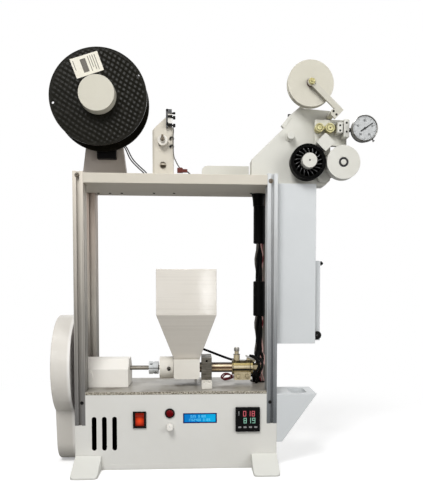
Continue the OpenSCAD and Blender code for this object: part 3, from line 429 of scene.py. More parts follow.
# Three copies of one drawn aluminium: their top, foot and groove colours are painted reflections and painted
# shade for each column.
ALLOY = drawn_alloy(
    "drawn_alloy", (188, 183, 174), (134, 129, 121), (226, 217, 203), (78, 81, 88), (126, 117, 105)
)
COOL_ALLOY = drawn_alloy(
    "cool_alloy", (182, 184, 185), (122, 124, 126), (226, 228, 228), (66, 73, 79), (56, 57, 60)
)
REAR_ALLOY = drawn_alloy(
    "rear_alloy", (196, 191, 180), (150, 144, 134), (190, 166, 152), (112, 112, 111), (132, 118, 108)
)
PLATE = worn_plate("worn_plate")
STEEL = bare_metal("ground_steel", (78, 73, 63), (46, 42, 35), (30, 900, 900), 0.4, 0.7)
NICKEL = bare_metal("nickel", (184, 181, 174), (132, 128, 120), rough=0.22)
PALE_NICKEL = bare_metal("pale_nickel", (214, 212, 206), (170, 167, 160), metallic=0.4)
CHROME = bare_metal("chrome", (112, 113, 114), (52, 53, 55), rough=0.12)
GAUGE_METAL = bare_metal("gauge_metal", (80, 81, 83), (54, 55, 57), gleam=0.05)
BRONZE = bare_metal("bronze", (88, 70, 48), (48, 38, 27))
ROLLER_BRASS = bare_metal("roller_brass", (216, 210, 152), (158, 147, 80), rough=0.2, metallic=0.6)
OLIVE_BRASS = bare_metal("olive_brass", (128, 120, 66), (76, 68, 30), rough=0.25, metallic=0.3, gleam=0.1)
# The stops of these polished metals are painted reflections: bright and dark bands from underside to top.
BARREL = polished("barrel_steel", [
    (0.0, (30, 20, 12)), (0.2, (76, 52, 30)), (0.28, (240, 212, 170)), (0.37, (240, 214, 176)),
    (0.45, (98, 68, 42)), (0.6, (80, 55, 33)), (0.67, (248, 226, 188)), (0.77, (248, 228, 194)),
    (0.84, (92, 66, 44)), (0.94, (32, 22, 14)),
])
SHAFT = polished("shaft_steel", [
    (0.0, (58, 54, 46)), (0.35, (120, 114, 102)), (0.55, (186, 180, 168)), (0.75, (96, 90, 80)),
])
BOLT = polished("bolt_steel", [
    (0.0, (34, 28, 20)), (0.3, (48, 40, 30)), (0.42, (88, 76, 60)), (0.52, (172, 162, 144)),
    (0.6, (236, 230, 214)), (0.7, (112, 100, 80)), (0.82, (58, 48, 36)),
])
BRASS = polished("brass", [
    (0.0, (52, 42, 16)), (0.16, (168, 146, 92)), (0.3, (226, 206, 152)), (0.4, (30, 24, 10)),
    (0.45, (150, 128, 72)), (0.5, (214, 198, 160)), (0.6, (250, 238, 202)), (0.7, (160, 138, 76)),
    (0.78, (206, 186, 116)), (0.86, (40, 34, 14)), (1.0, (70, 60, 28)),
])
DARK_BRONZE = moulded("dark_bronze", (74, 38, 26), (48, 24, 17), 0.35, dust_share=0.02)
BLACK = moulded("black_plastic", (8, 8, 8), (16, 15, 15), dust_share=0.05, shine=0.09)
# Near black for the housing's inner faces: painted shade for the dark inside seen through the vents.
INSIDE_SHADE = moulded("inside_shade", (10, 10, 10), (18, 18, 18), 0.7, dust_share=0.03, shine=0.05)
# Grey for the belt flange: painted shade, the look of the shaded gap between the cover and its column.
FLANGE_SHADE_GREY = moulded("flange_shade_grey", (184, 174, 175), (166, 156, 158), 0.5, dust_share=0.05)
WHEEL_BLACK = moulded("wheel_black", (4, 4, 4), (8, 8, 8), 0.5, dust_share=0.02, shine=0.03)
VANE_BLACK = moulded("vane_black", (8, 8, 9), (14, 14, 15), 0.14, dust_share=0.02, shine=0.6)
GLOSS_BLACK = moulded("gloss_black", (8, 8, 9), (14, 14, 14), 0.14, dust_share=0.03, shine=0.12)
SPOOL_BLACK = moulded("spool_black", (11, 10, 5), (23, 21, 12), 0.34, dust_share=0.06, shine=0.1)
RUBBER = moulded("cable_rubber", (3, 3, 3), (7, 6, 6), 0.5, dust_share=0.02, shine=0.08)
RED_WIRE = moulded("red_wire", (100, 20, 30), (74, 13, 21), 0.4)
PLUG_BROWN = moulded("plug_brown", (104, 48, 40), (74, 32, 28), 0.45)
GREY_WIRE = moulded("grey_wire", (104, 100, 94), (80, 76, 70), 0.45)
PINK_WIRE = moulded("pink_wire", (204, 164, 158), (180, 138, 132), 0.45)
PAPER = moulded("label_paper", (232, 228, 214), (218, 213, 198), 0.6, 300, 0.06)
INK = moulded("label_ink", (116, 112, 104), (92, 88, 82), 0.6, 300)
DIAL_INK = moulded("dial_ink", (66, 66, 68), (52, 52, 54), 0.5, 300, 0.02)
DIAL_PAPER = moulded("dial_paper", (196, 198, 198), (176, 178, 178), 0.35, 160, 0.04)
KEY_GREY = moulded("key_grey", (150, 150, 150), (128, 128, 128), 0.5)
LENS_RED = moulded("lamp_lens", (112, 2, 10), (86, 1, 6), 0.16, 300, 0.0, 0.1)


def full_turn(count):
    """Angles of that many even steps round a circle."""
    return [2 * pi * i / count for i in range(count)]


def circle(side, other, steps):
    """Directions at even steps round a circle, from two directions that are square to each other."""
    return [cos(a) * side + sin(a) * other for a in full_turn(steps)]


def spoke(turn):
    """Direction at that angle in the front view."""
    return Vector((cos(turn), 0, sin(turn)))


class Form:
    """A mesh in the making, in millimetres."""

    def __init__(self):
        self.mesh = bmesh.new()

    def loft(self, rings, closed=True):
        """Skin over rings of as many points each, with a face on each end where it is closed."""
        rows = [[self.mesh.verts.new(point) for point in ring] for ring in rings]
        count = len(rows[0])
        for low, high in zip(rows, rows[1:]):
            for i in range(count):
                k = (i + 1) % count
                self.mesh.faces.new((low[i], low[k], high[k], high[i]))
        if closed:
            self.mesh.faces.new(list(reversed(rows[0])))
            self.mesh.faces.new(rows[-1])
        return self

    def block(self, low, high):
        def ring(z):
            return [(low[0], low[1], z), (high[0], low[1], z), (high[0], high[1], z), (low[0], high[1], z)]
        return self.loft([ring(low[2]), ring(high[2])])

    def turned(self, start, axis, profile, steps=40, closed=True):
        """Solid of revolution: profile holds (radius, distance along the axis) pairs."""
        along = Vector(axis).normalized()
        side = along.orthogonal().normalized()
        arms = circle(side, along.cross(side), steps)
        return self.loft([
            [Vector(start) + along * far + radius * arm for arm in arms] for radius, far in profile
        ], closed)

    def ring(self, start, axis, inner, outer, high, ease=0.4, steps=48):
        """Flat ring with eased outer edges."""
        return self.turned(start, axis, [
            (inner, 0), (outer - ease, 0), (outer, ease), (outer, high - ease), (outer - ease, high),
            (inner, high), (inner, 0),
        ], steps, closed=False)

    def nut(self, start, axis, across, high):
        """Hexagon nut or bolt head with a chamfered top."""
        radius = across / sqrt(3)
        return self.turned(start, axis, [(radius, 0), (radius, high * 0.82), (radius * 0.86, high)], 6)

    def screw(self, start, axis, radius, high):
        """Round screw head with a socket."""
        return self.turned(start, axis, [
            (radius, 0), (radius, high * 0.7), (radius * 0.82, high), (radius * 0.5, high),
            (radius * 0.42, high * 0.4),
        ], 24)

    def plate(self, outline, front, back):
        """Front view outline of (x, z) points, given depth."""
        return self.loft([[(x, y, z) for x, z in outline] for y in (front, back)])

    def bar(self, left, low, right, high, front, back):
        """Upright front plate from its corners."""
        return self.block((left, front, low), (right, back, high))

    def tube(self, route, radius, sides=10):
        """Round tube along a route of points."""
        points = [Vector(p) for p in route]
        last = len(points) - 1
        ways = [(points[min(i + 1, last)] - points[max(i - 1, 0)]).normalized() for i in range(last + 1)]
        side = ways[0].orthogonal().normalized()
        rings = []
        for point, way in zip(points, ways):
            side = (side - way * side.dot(way)).normalized()
            rings.append([point + radius * arm for arm in circle(side, way.cross(side), sides)])
        return self.loft(rings)

    def clean(self):
        """Joins doubled points and turns the faces outward."""
        bmesh.ops.remove_doubles(self.mesh, verts=self.mesh.verts, dist=0.001)
        bmesh.ops.recalc_face_normals(self.mesh, faces=self.mesh.faces)
        return self

    def drill(self, tool):
        """Cuts another form out of this one, and uses it up."""
        holders = []
        for name, form in (("stock", self), ("tool", tool.clean())):
            data = bpy.data.meshes.new(name)
            form.mesh.to_mesh(data)
            form.mesh.free()
            holders.append(put(name, data))
        stock, cutter = holders
        cut = stock.modifiers.new("hole", "BOOLEAN")
        cut.operation = "DIFFERENCE"
        cut.solver = "EXACT"
        cut.object = cutter
        self.mesh = bmesh.new()
        self.mesh.from_object(stock, bpy.context.evaluated_depsgraph_get())
        for holder in holders:
            bpy.data.objects.remove(holder)

    def add(self, name, finish, slot, body="machine", edge=0, stands_for=None):
        """Shows the form, with its sharp edges rounded to edge millimetres."""
        mesh = self.clean().mesh
        if edge:
            round_edges(mesh, edge)
        bmesh.ops.scale(mesh, vec=(MM, MM, MM), verts=mesh.verts)
        bmesh.ops.translate(mesh, vec=HOME, verts=mesh.verts)
        show(mesh, name, finish, body, stands_for)


def eased(route, steps=6):
    """Smooth route through given points."""
    points = [Vector(p) for p in route]
    last = len(points) - 1
    path = []
    for i in range(last):
        start, here, there, end = points[max(i - 1, 0)], points[i], points[i + 1], points[min(i + 2, last)]
        for k in range(steps):
            t = k / steps
            path.append(0.5 * (
                2 * here + (there - start) * t
                + (2 * start - 5 * here + 4 * there - end) * t * t
                + (3 * here - start - 3 * there + end) * t * t * t
            ))
    return path + [points[-1]]


def moved(start, offsets):
    """Places by their offsets from a start."""
    return [Vector(start) + Vector(offset) for offset in offsets]


def inset(radius, steps):
    """Profile of a turned piece from steps of how far in from its radius and how far along its axis."""
    return [(radius - inward, far) for inward, far in steps]


SLOT_OF = {part["node"]: part["material_slot"] for part in frame["record"]["subparts"]}
BODY_OF = {node: body for body, nodes in frame["record"]["behaviour"]["bodies"].items() for node in nodes}
SMOOTH_ANGLE = radians(32)
FLAT_ANGLE = radians(12)
COPLANAR_ANGLE = radians(0.4)
FLAT_SIDED = ("hopper", "gearbox", "filament_chute", "feed_block", "spool_pedestal")


def show(mesh, name, finish, body, stands_for=None, crease=SMOOTH_ANGLE):
    """Object of a finished mesh that rides on its body, in place of a CAD node where one is given."""
    data = bpy.data.meshes.new(name)
    mesh.to_mesh(data)
    mesh.free()
    for polygon in data.polygons:
        polygon.use_smooth = True
    data.set_sharp_from_angle(angle=crease)
    data.materials.append(finish)
    piece = put(name, data)
    flats = piece.modifiers.new("flats", "WEIGHTED_NORMAL")
    flats.keep_sharp = True
    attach(piece, body)
    if stands_for:
        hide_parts(stands_for)
    return piece


def round_edges(mesh, width, crease=SMOOTH_ANGLE):
    """Rounds every sharp edge to that width in the mesh's own units."""
    sharp = [e for e in mesh.edges if len(e.link_faces) == 2 and e.calc_face_angle(0) > crease]
    bmesh.ops.bevel(
        mesh, geom=sharp, offset=width, segments=2, profile=0.5, affect="EDGES", clamp_overlap=True
    )


def soften(node, finish, edge=0.8):
    """Stands a copy of a CAD node, with rounded edges and a finish, in its place."""
    mesh = bmesh.new()
    mesh.from_mesh(frame["nodes"][node].data)
    bmesh.ops.remove_doubles(mesh, verts=mesh.verts, dist=0.002 * MM)
    bmesh.ops.dissolve_limit(mesh, angle_limit=COPLANAR_ANGLE, verts=mesh.verts, edges=mesh.edges)
    crease = FLAT_ANGLE if node in FLAT_SIDED else SMOOTH_ANGLE
    round_edges(mesh, edge * MM, crease)
    return show(mesh, node + "_skin", finish, BODY_OF[node], node, crease)


# Nodes that keep their CAD form: finish, width of the rounded edges, nodes
CARRIED = [
    (FOOT_PAINT, 0.8, ["foot_front_left", "foot_front_right", "foot_rear_left", "foot_rear_right"]),
    (PLATE, 0.6, ["base_plate"]),
    (ALLOY, 0.3, ["column_front_left"]),
    (COOL_ALLOY, 0.3, ["column_front_right"]),
    (REAR_ALLOY, 0.3, ["column_rear_left", "column_rear_right"]),
    (WARM_PAINT, 0.8, ["top_deck", "guide_post"]),
    (COVER_PAINT, 0.8, ["belt_cover"]),
    (HOPPER_PAINT, 0.8, ["hopper"]),
    (LIGHTENED_PAINT, 0.8, ["feed_block", "clamp_foot"]),
    (LIGHTENED_PAINT, 0.6, ["thrust_collar", "guide_roller"]),
    (WHITE_PAINT, 0.8, ["gearbox"]),
    (WHITE_PAINT, 0.6, ["speed_knob"]),
    (HEAD_PAINT, 0.8, ["deck_box", "puller_housing", "filament_guide", "idler_arm", "gauge_bracket"]),
    (HEAD_PAINT, 0.6, ["drive_hub"]),
    (HEAD_PAINT, 1.2, ["idler_wheel"]),
    (SHADED_ARM_PAINT, 0.8, ["guide_arm"]),
    (WHEEL_PAINT, 0.6, ["hub_cap", "guide_wheel"]),
    (SHADE_GREY_PAINT, 0.8, ["spool_pedestal"]),
    (COOL_PAINT, 0.8, ["side_box", "side_plate", "filament_chute"]),
    (COOL_PAINT, 0.5, ["shaft_coupling"]),
    (STEEL, 0.6, ["barrel_clamp"]),
    (SHAFT, 0.4, ["drive_shaft"]),
    (BARREL, 0.4, ["barrel"]),
    (BRASS, 0.5, ["heater_band", "nozzle"]),
    (FLANGE_SHADE_GREY, 0.5, ["belt_flange"]),
    (BLACK, 0.5, ["switch_bezel", "winder_drive", "temperature_meter"]),
    (WHEEL_BLACK, 0.25, ["drive_wheel"]),
    (SPOOL_BLACK, 0.5, ["spool_drum"]),
]
HEM_HIGH, HEM_PROUD = 11, 0.5


def add_carried():
    for finish, edge, nodes in CARRIED:
        for node in nodes:
            soften(node, finish, edge)


def add_housing():
    """Base housing, with painted shade, near black, on the faces that look inward and a hem between its
    front feet.
    """
    housing = soften("base_housing", PANEL_PAINT)
    # Second material: painted shade on the inward faces.
    housing.data.materials.append(INSIDE_SHADE)
    low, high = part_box("base_housing")
    core = (low + high) / 2
    for polygon in housing.data.polygons:
        outward = polygon.center - core
        inner_floor = polygon.normal.z > 0.5 and outward.z < 0
        inner_wall = polygon.normal.x * outward.x + polygon.normal.y * outward.y < 0
        if inner_floor or inner_wall:
            polygon.material_index = 1
    low = extent("base_housing")[0]
    left, right = extent("foot_front_left")[1].x, extent("foot_front_right")[0].x
    hem = Form().bar(left, low.z, right, low.z + HEM_HIGH, low.y - HEM_PROUD, low.y)
    hem.add("panel_hem", PANEL_PAINT, "paint", edge=0.25)


# Spool flanges with a basket pattern pressed into them
SPOOL_AXIS = middle("spool_drum")
SPOOL_BORE = 26
FLANGE_STEPS = 420
WEAVE_ALONG, WEAVE_ACROSS = 5.7, 7.3
WEAVE_TILT = radians(19)
WEAVE_HIGH = 0.75
WEAVE_RIDGE = 0.52
WEAVE_INNER, WEAVE_OUTER, WEAVE_FADE = 38, 90, 3
DRIFT, COLUMN_WAVE, ROW_WAVE = 0.8, 9, 11
PRESS, PRESS_SWING, PRESS_WAVE, PRESS_LEAN = 0.72, 0.28, 60, 0.3
RIM_PROUD = 0.5
LUG_TURNS = (28, 189)
LUG_SHARE, LUG_RADIUS, LUG_SPARE = 0.93, 2.5, 4


def weave(x, z):
    """Height of the basket pattern, from -1 to 1, at a place from the spool's axis."""
    along = x * cos(WEAVE_TILT) + z * sin(WEAVE_TILT)
    across = z * cos(WEAVE_TILT) - x * sin(WEAVE_TILT)
    strength = PRESS + PRESS_SWING * sin((x + PRESS_LEAN * z) / PRESS_WAVE)
    column = (along + DRIFT * sin(across / COLUMN_WAVE)) / WEAVE_ALONG
    row = (across + DRIFT * sin(along / ROW_WAVE)) / WEAVE_ACROSS
    ridges = cos(pi * (column + row))
    bumps = cos(pi * (column - row))
    return strength * (WEAVE_RIDGE * ridges + (1 - WEAVE_RIDGE) * bumps)


def add_flange(node, outward):
    """Spool flange whose outer face, towards outward along Y, is woven between its hub and its rim."""
    low, high = extent(node)
    face, back = (low.y, high.y) if outward < 0 else (high.y, low.y)
    raised = face + outward * RIM_PROUD
    rim = (high.z - low.z) / 2

    def ring(radius, y, share=0):
        points = []
        for turn in full_turn(FLANGE_STEPS):
            x, z = radius * cos(turn), radius * sin(turn)
            lift = share * WEAVE_HIGH * weave(x, z)
            points.append((SPOOL_AXIS.x + x, y + outward * lift, SPOOL_AXIS.z + z))
        return points

    rings = [ring(SPOOL_BORE, back), ring(SPOOL_BORE, face)]
    for radius in range(WEAVE_INNER, WEAVE_OUTER + 1):
        fade = min(1, (radius - WEAVE_INNER) / WEAVE_FADE, (WEAVE_OUTER - radius) / WEAVE_FADE)
        rings.append(ring(radius, face, fade))
    rings += [
        ring(rim - 2.6, face), ring(rim - 2, raised), ring(rim - 0.5, raised), ring(rim, face),
        ring(rim, back), ring(SPOOL_BORE, back),
    ]
    form = Form().loft(rings, closed=False).clean()
    for turn in LUG_TURNS:
        place = SPOOL_AXIS + spoke(radians(turn)) * (LUG_SHARE * rim)
        form.drill(Form().turned((place.x, low.y - LUG_SPARE, place.z), BACK, [
            (LUG_RADIUS, 0), (LUG_RADIUS, high.y - low.y + 2 * LUG_SPARE),
        ], 20))
    form.add(node + "_woven", SPOOL_BLACK, SLOT_OF[node], "spool", stands_for=node)


# Label on the front flange: a bare card with ruled lines and a box, as shares of its width and height
LABEL_CORNERS = [(-205.8, 795), (-153.1, 812.5), (-140, 776.6), (-191.9, 758.3)]
LABEL_GAP, LABEL_THICK = 0.3, 0.25
LABEL_FRONT = extent("spool_front_flange")[0].y - WEAVE_HIGH - LABEL_GAP
LABEL_RULES = [(0.08, 0.12, 0.62), (0.86, 0.1, 0.9), (0.78, 0.1, 0.84), (0.7, 0.1, 0.72), (0.62, 0.1, 0.88)]
RULE_HALF, RULE_PROUD = 0.012, 0.06
LABEL_BOX = (0.32, 0.52, 0.16, 0.84, 0.05)


def label_spot(across, down):
    """Place on the label from shares of its width and height."""
    a, b, c, d = (Vector(corner) for corner in LABEL_CORNERS)
    return a.lerp(b, across).lerp(d.lerp(c, across), down)


def add_label():
    card = Form().plate(LABEL_CORNERS, LABEL_FRONT, LABEL_FRONT + LABEL_THICK)
    card.add("spool_label", PAPER, "paint", "spool", edge=0.1)
    patches = [(across - RULE_HALF, across + RULE_HALF, *ends, RULE_PROUD) for across, *ends in LABEL_RULES]
    marks = Form()
    for left, right, start, end, proud in patches + [LABEL_BOX]:
        spots = [(left, start), (right, start), (right, end), (left, end)]
        marks.plate([label_spot(*spot) for spot in spots], LABEL_FRONT - proud, LABEL_FRONT)
    marks.add("label_rules", INK, "alloy", "spool")


# Screw heads, by their places on the columns, under the deck, on the gauge's block and on the arm
DECK_LOW, DECK_TOP = (corner.z for corner in extent("top_deck"))
ARM_FRONT = extent("guide_arm")[0].y
COLUMN_SCREWS = [(-186.9, 0, 567.9), (182.5, 0, 561.3)]
SOCKET_SCREWS = [(-182.2, 0, 132.3), (182.6, 0, 130.5)]
DECK_SCREWS = [(-168.6, 150), (-144, 148), (-119, 146), (-51, 140), (-8.6, 136), (153.8, 122)]
BLOCK_SCREWS = [(317.8, 671), (317.8, 661), (330.5, 676), (330.5, 659)]
ARM_SCREWS = [(302.4, 695.7), (308.3, 689.2)]


def add_screws():
    bronze = Form()
    for place in COLUMN_SCREWS:
        bronze.ring(place, FRONT, 2, 4.6, 0.8).screw(place, FRONT, 3.4, 2.4)
    bronze.add("column_screws", BRONZE, "brass")
    heads = [(place, FRONT, 3.2, 1.6) for place in SOCKET_SCREWS]
    heads += [((x, y, DECK_LOW), DOWN, 2.6, 1.4) for x, y in DECK_SCREWS]
    block_front = extent("gauge_bracket")[0].y
    heads += [((x, block_front, z), FRONT, 1.9, 0.8) for x, z in BLOCK_SCREWS]
    heads += [((x, ARM_FRONT, z), FRONT, 2.1, 0.9) for x, z in ARM_SCREWS]
    dark = Form()
    for head in heads:
        dark.screw(*head)
    dark.add("dark_screws", BLACK, "black_plastic")


# Guide post: roller bolt, lower bolt, cable hooks and the limit switch
POST_FRONT = extent("limit_switch")[1].y
POST_BOLT = (-26.9, POST_FRONT, 595.8)
HOOK_X, HOOK_HEIGHTS, HOOK_RADIUS = -9.4, (646.6, 631.1), 3.4


def add_post_details():
    bolt = Form().nut(before("guide_roller", 0.6, 1), FRONT, 8, 4)
    bolt.turned(before("guide_roller", 4, 1), FRONT, [(2.4, 0), (2.4, 3), (1.8, 4)], 24)
    bolt.turned(before("guide_roller", 4, 4), UP, [(2, -3), (2, 5), (1.5, 6)], 20)
    bolt.add("roller_bolt", BRONZE, "brass")
    washer = Form().ring(POST_BOLT, FRONT, 2.5, 6.4, 1.4)
    washer.turned(POST_BOLT, FRONT, [
        (5.6, 1.2), (5.6, 2.2), (5.2, 3.6), (4.3, 4.9), (3, 5.9), (1.6, 6.5), (0.6, 6.7),
    ], 32)
    washer.add("post_bolt", BOLT, "alloy")
    hooks = Form()
    for z in HOOK_HEIGHTS:
        centre = Vector((HOOK_X, POST_FRONT - 2.2, z))
        hooks.tube([centre + spoke(radians(a)) * HOOK_RADIUS for a in range(-60, 181, 20)], 1.2)
        hooks.block((HOOK_X - 4.8, POST_FRONT - 3, z - 1.2), (HOOK_X - 1.6, POST_FRONT, z + 1.2))
    hooks.add("cable_hooks", BLACK, "black_plastic", edge=0.2)


def add_limit_switch():
    low, high = extent("limit_switch")

    def blocks(*rows):
        """Blocks by left, right, top, bottom and front from the switch's upper left front corner."""
        form = Form()
        for left, right, top, bottom, front in rows:
            form.block((low.x + left, low.y + front, high.z - bottom), (low.x + right, high.y, high.z - top))
        return form

    body = blocks(
        (3.6, 12.4, 12.6, 16.6, 1), (2.6, 12, 28, 32.4, 1), (0.6, 4, 0.4, 5, 0.6), (1, 4.4, 26, 32, 0.8)
    )
    for down, radius in ((8, 2.3), (16.4, 3.6), (31.6, 3.6)):
        body.turned((low.x + 11, low.y + 4, high.z - down), RIGHT, [
            (1.6, 0), (1.6, 2.4), (radius - 0.5, 2.8), (radius, 3.6), (radius, 6.4), (radius - 0.6, 7.4),
        ], 20)
    body.add("limit_switch_body", BLACK, "black_plastic", edge=0.3, stands_for="limit_switch")
    case = blocks((0, 3.6, 0, 36, 2), (3.6, 11.6, 0.2, 8.4, 2))
    case.add("limit_switch_frame", GAUGE_METAL, "alloy", edge=0.5)
    lever = blocks((3.6, 12.6, 9.4, 11.8, 3), (3.6, 10, 16.6, 28, 3), (11, 12.4, 16.6, 28, 3))
    lever.add("limit_switch_lever", PALE_NICKEL, "alloy", edge=0.2)


# Puller head: axle, brass rollers, dial gauge and wheels
GAUGE_ROLLERS = [(279, 8.75), (299.8, 9.5)]
ROLLER_STEPS = [
    (0, 0), (0, 15.4), (0.8, 16.4), (2.4, 16.4), (2.8, 15.2), (3.8, 15.2), (4.2, 16.8), (5.6, 16.8),
    (6, 15.8),
]
# Bowed front edges of the drive wheel's vanes
VANE_COUNT, VANE_STEPS = 18, 8
VANE_ROOT, VANE_RIM = 15.6, 6.5
VANE_LEAN = radians(28)
VANE_BACK, VANE_BOW, VANE_RADIUS = 3.2, 1.8, 1.2


def add_guide_axle():
    centre = middle("guide_axle")

    def on_axis(y):
        return (centre.x, y, centre.z)

    axle = Form().turned(
        on_axis(extent("guide_axle")[1].y), FRONT, [(7, 0), (7, 1.6), (4, 1.7), (4, 29)], 32
    )
    axle.ring(on_axis(ARM_FRONT), FRONT, 3, 6.6, 1.2)
    axle.nut(on_axis(ARM_FRONT - 1.2), FRONT, 10.5, 4.4)
    axle.turned(on_axis(ARM_FRONT - 5), FRONT, [(2.8, 0), (2.8, 2), (2, 2.8)], 24)
    axle.add("guide_axle_brass", ROLLER_BRASS, "brass", edge=0.2, stands_for="guide_axle")
    spacer = Form().ring(on_axis(ARM_FRONT + 6.3), BACK, 4.2, 8.4, 3.6)
    spacer.add("guide_axle_spacer", DARK_BRONZE, "brass")


def add_rollers():
    low, high = extent("gauge_rollers")
    line = middle("gauge_rollers")
    brass = Form()
    # grooves holds darker olive rings at the bottom of each roller's groove, which are painted shade, and an
    # olive nut in its own colour.
    grooves = Form()
    for x, radius in GAUGE_ROLLERS:
        profile = inset(radius, ROLLER_STEPS) + [(1.4, 15.8), (1.2, 14.4)]
        brass.turned((x, high.y, line.z), FRONT, profile, 48)
        grooves.ring((x, high.y - 15, line.z), FRONT, radius - 4, radius - 2.6, 0.5, 0.1)
    brass.turned((low.x, line.y, line.z), RIGHT, [(3.5, 0), (3.5, 30.5)], 24)
    for start in (30.5, 34.5, 38.5):
        brass.turned((low.x + start, line.y, line.z), RIGHT, [(4.4, 0), (5, 0.6), (5, 2.8), (4.2, 4)], 6)
    brass.add("gauge_rollers_turned", ROLLER_BRASS, "brass", stands_for="gauge_rollers")
    grooves.turned((308.8, high.y - 9, line.z), RIGHT, [(4.8, 0), (5.4, 0.4), (5.4, 2.3), (4.8, 2.7)], 6)
    grooves.add("roller_grooves", OLIVE_BRASS, "brass")
    # Dark disc in the right roller's bore: painted shade.
    Form().screw((300.4, high.y - 15.9, line.z), FRONT, 1.6, 0.4).add("roller_hole", DARK_BRONZE, "brass")


# Bars of each digit, and the ends of each bar as shares of the digit's width and height
DIGIT_BARS = {
    "0": "abcdef", "1": "bc", "2": "abged", "3": "abgcd", "4": "fgbc", "5": "afgcd", "6": "afgedc",
    "7": "abc", "8": "abcdefg", "9": "abcdfg", " ": "",
}
BAR_ENDS = {
    "a": ((0, 1), (1, 1)), "b": ((1, 0.5), (1, 1)), "c": ((1, 0), (1, 0.5)), "d": ((0, 0), (1, 0)),
    "e": ((0, 0), (0, 0.5)), "f": ((0, 0.5), (0, 1)), "g": ((0, 0.5), (1, 0.5)),
}
DIGIT_SLIM, DIGIT_PROUD = 0.5, 0.12


def write_digits(form, digits, left, low, high, front, pitch=0.85, stroke=0.13):
    """Row of bar digits, high millimetres tall, standing just in front of a face."""
    wide = DIGIT_SLIM * high
    half = stroke * high / 2
    for count, digit in enumerate(digits):
        start = left + count * pitch * high
        for bar in DIGIT_BARS[digit]:
            (x0, z0), (x1, z1) = BAR_ENDS[bar]
            form.bar(
                start + x0 * wide - half, low + z0 * high - half,
                start + x1 * wide + half, low + z1 * high + half, front - DIGIT_PROUD, front,
            )
    return form


# Dial gauge, whose steps are insets from its radius and distances forward
GAUGE_BODY_STEPS = [(6, 0), (3, 1.5), (2, 4), (2, 17), (1, 18), (1, 19)]
GAUGE_BEZEL_STEPS = [
    (2, 0), (0, 0.4), (0, 6), (0.8, 8), (2, 8.4), (3, 7.4), (3.2, 6.6), (3.2, 2), (2, 0),
]
GAUGE_STEM = [(4, 0), (4, 6), (3, 6.4), (3, 12)]
GAUGE_STEM_Y = 8
GAUGE_LUG = [(1.4, -2), (1.4, 2.4), (2.4, 2.6), (2.4, 4.6)]
GAUGE_TICKS = 50
POINTER_TAIL, POINTER_TIP = Vector((354.9, 657.1)), Vector((379.1, 673.6))


def tapered(start, end, half_start, half_end):
    """Outline of a straight mark from its ends and half widths, in the front view."""
    way = (end - start).normalized()
    near, far = (Vector((-way.y, way.x)) * half for half in (half_start, half_end))
    return [start - near, end - far, end + far, start + near]


def add_dial_gauge():
    low, high = extent("dial_gauge")
    radius = (high.z - low.z) / 2
    x, z = high.x - radius, middle("dial_gauge").z
    centre = Vector((x, z))
    face = low.y + 1.6
    body = Form().turned((x, high.y, z), FRONT, inset(radius, GAUGE_BODY_STEPS), 64)
    body.turned((low.x, GAUGE_STEM_Y, z), RIGHT, GAUGE_STEM, 24)
    body.turned((x + 15.6, low.y + 4, z - 21), (0.6, 0, -0.8), GAUGE_LUG, 16)
    body.add("gauge_body", GAUGE_METAL, "alloy", stands_for="dial_gauge")
    bezel = Form().turned((x, low.y + 8.4, z), FRONT, inset(radius, GAUGE_BEZEL_STEPS), 72, closed=False)
    bezel.add("gauge_bezel", CHROME, "alloy")
    dial = Form().turned((x, face + 1.6, z), FRONT, inset(radius, [(2.6, 0), (2.6, 1.5), (3.4, 1.6)]), 64)
    dial.add("gauge_face", DIAL_PAPER, "paint")
    marks = Form()
    for tick in range(GAUGE_TICKS):
        turn = radians(360 / GAUGE_TICKS * tick)
        out = Vector((sin(turn), cos(turn)))
        start, half = (radius - 8, 0.42) if tick % 5 == 0 else (radius - 6, 0.22)
        ends = [centre + out * far for far in (start, radius - 3.8)]
        marks.plate(tapered(*ends, half, half), face - 0.1, face)
        if tick % 10 == 0:
            spot = centre + out * (radius - 11.4)
            write_digits(marks, f"{tick // 10}0", spot.x - 2.4, spot.y - 1.6, 3.2, face, stroke=0.2)
    marks.add("gauge_marks", DIAL_INK, "black_plastic")
    pointer = Form().plate(tapered(POINTER_TAIL, POINTER_TIP, 1.2, 0.55), face - 1, face - 0.6)
    pointer.turned((x, face, z), FRONT, [(1.9, 0), (1.9, 1.2), (1.2, 1.6)], 24)
    pointer.add("gauge_pointer", BLACK, "black_plastic")


def add_wheel_details():
    race = Form().ring(before("idler_wheel", -2), FRONT, 7.4, 9.3, 1.9)
    race.add("idler_race", DIAL_INK, "alloy", "idler_wheel")
    seal = Form().ring(before("idler_wheel", -2.2), FRONT, 5.4, 7.6, 1.2)
    seal.add("idler_seal", BLACK, "black_plastic", "idler_wheel")
    cap = Form().turned(before("idler_wheel", -2), FRONT, [
        (5.6, 0), (5.6, 1.6), (4.8, 2.4), (2, 2.4), (1.6, 1.8),
    ], 40)
    cap.add("idler_cap", HEAD_PAINT, "paint", "idler_wheel")
    hub = before("drive_wheel", -VANE_BACK)
    length = extent("drive_wheel")[1].z - hub.z - VANE_RIM - VANE_ROOT
    vanes = Form()
    for turn in full_turn(VANE_COUNT):
        route = []
        for step in range(VANE_STEPS + 1):
            share = step / VANE_STEPS
            bow = VANE_BOW * 4 * share * (1 - share)
            along = spoke(turn) * VANE_ROOT + spoke(turn + VANE_LEAN) * (share * length)
            route.append(hub + along - Vector((0, bow, 0)))
        vanes.tube(route, VANE_RADIUS, 12)
    vanes.add("drive_vanes", VANE_BLACK, "black_plastic", "drive_wheel")
    dot = Form().screw((hub.x, extent("drive_hub")[0].y, hub.z), FRONT, 1.7, 0.5)
    dot.add("hub_screw", BLACK, "black_plastic", "drive_wheel")


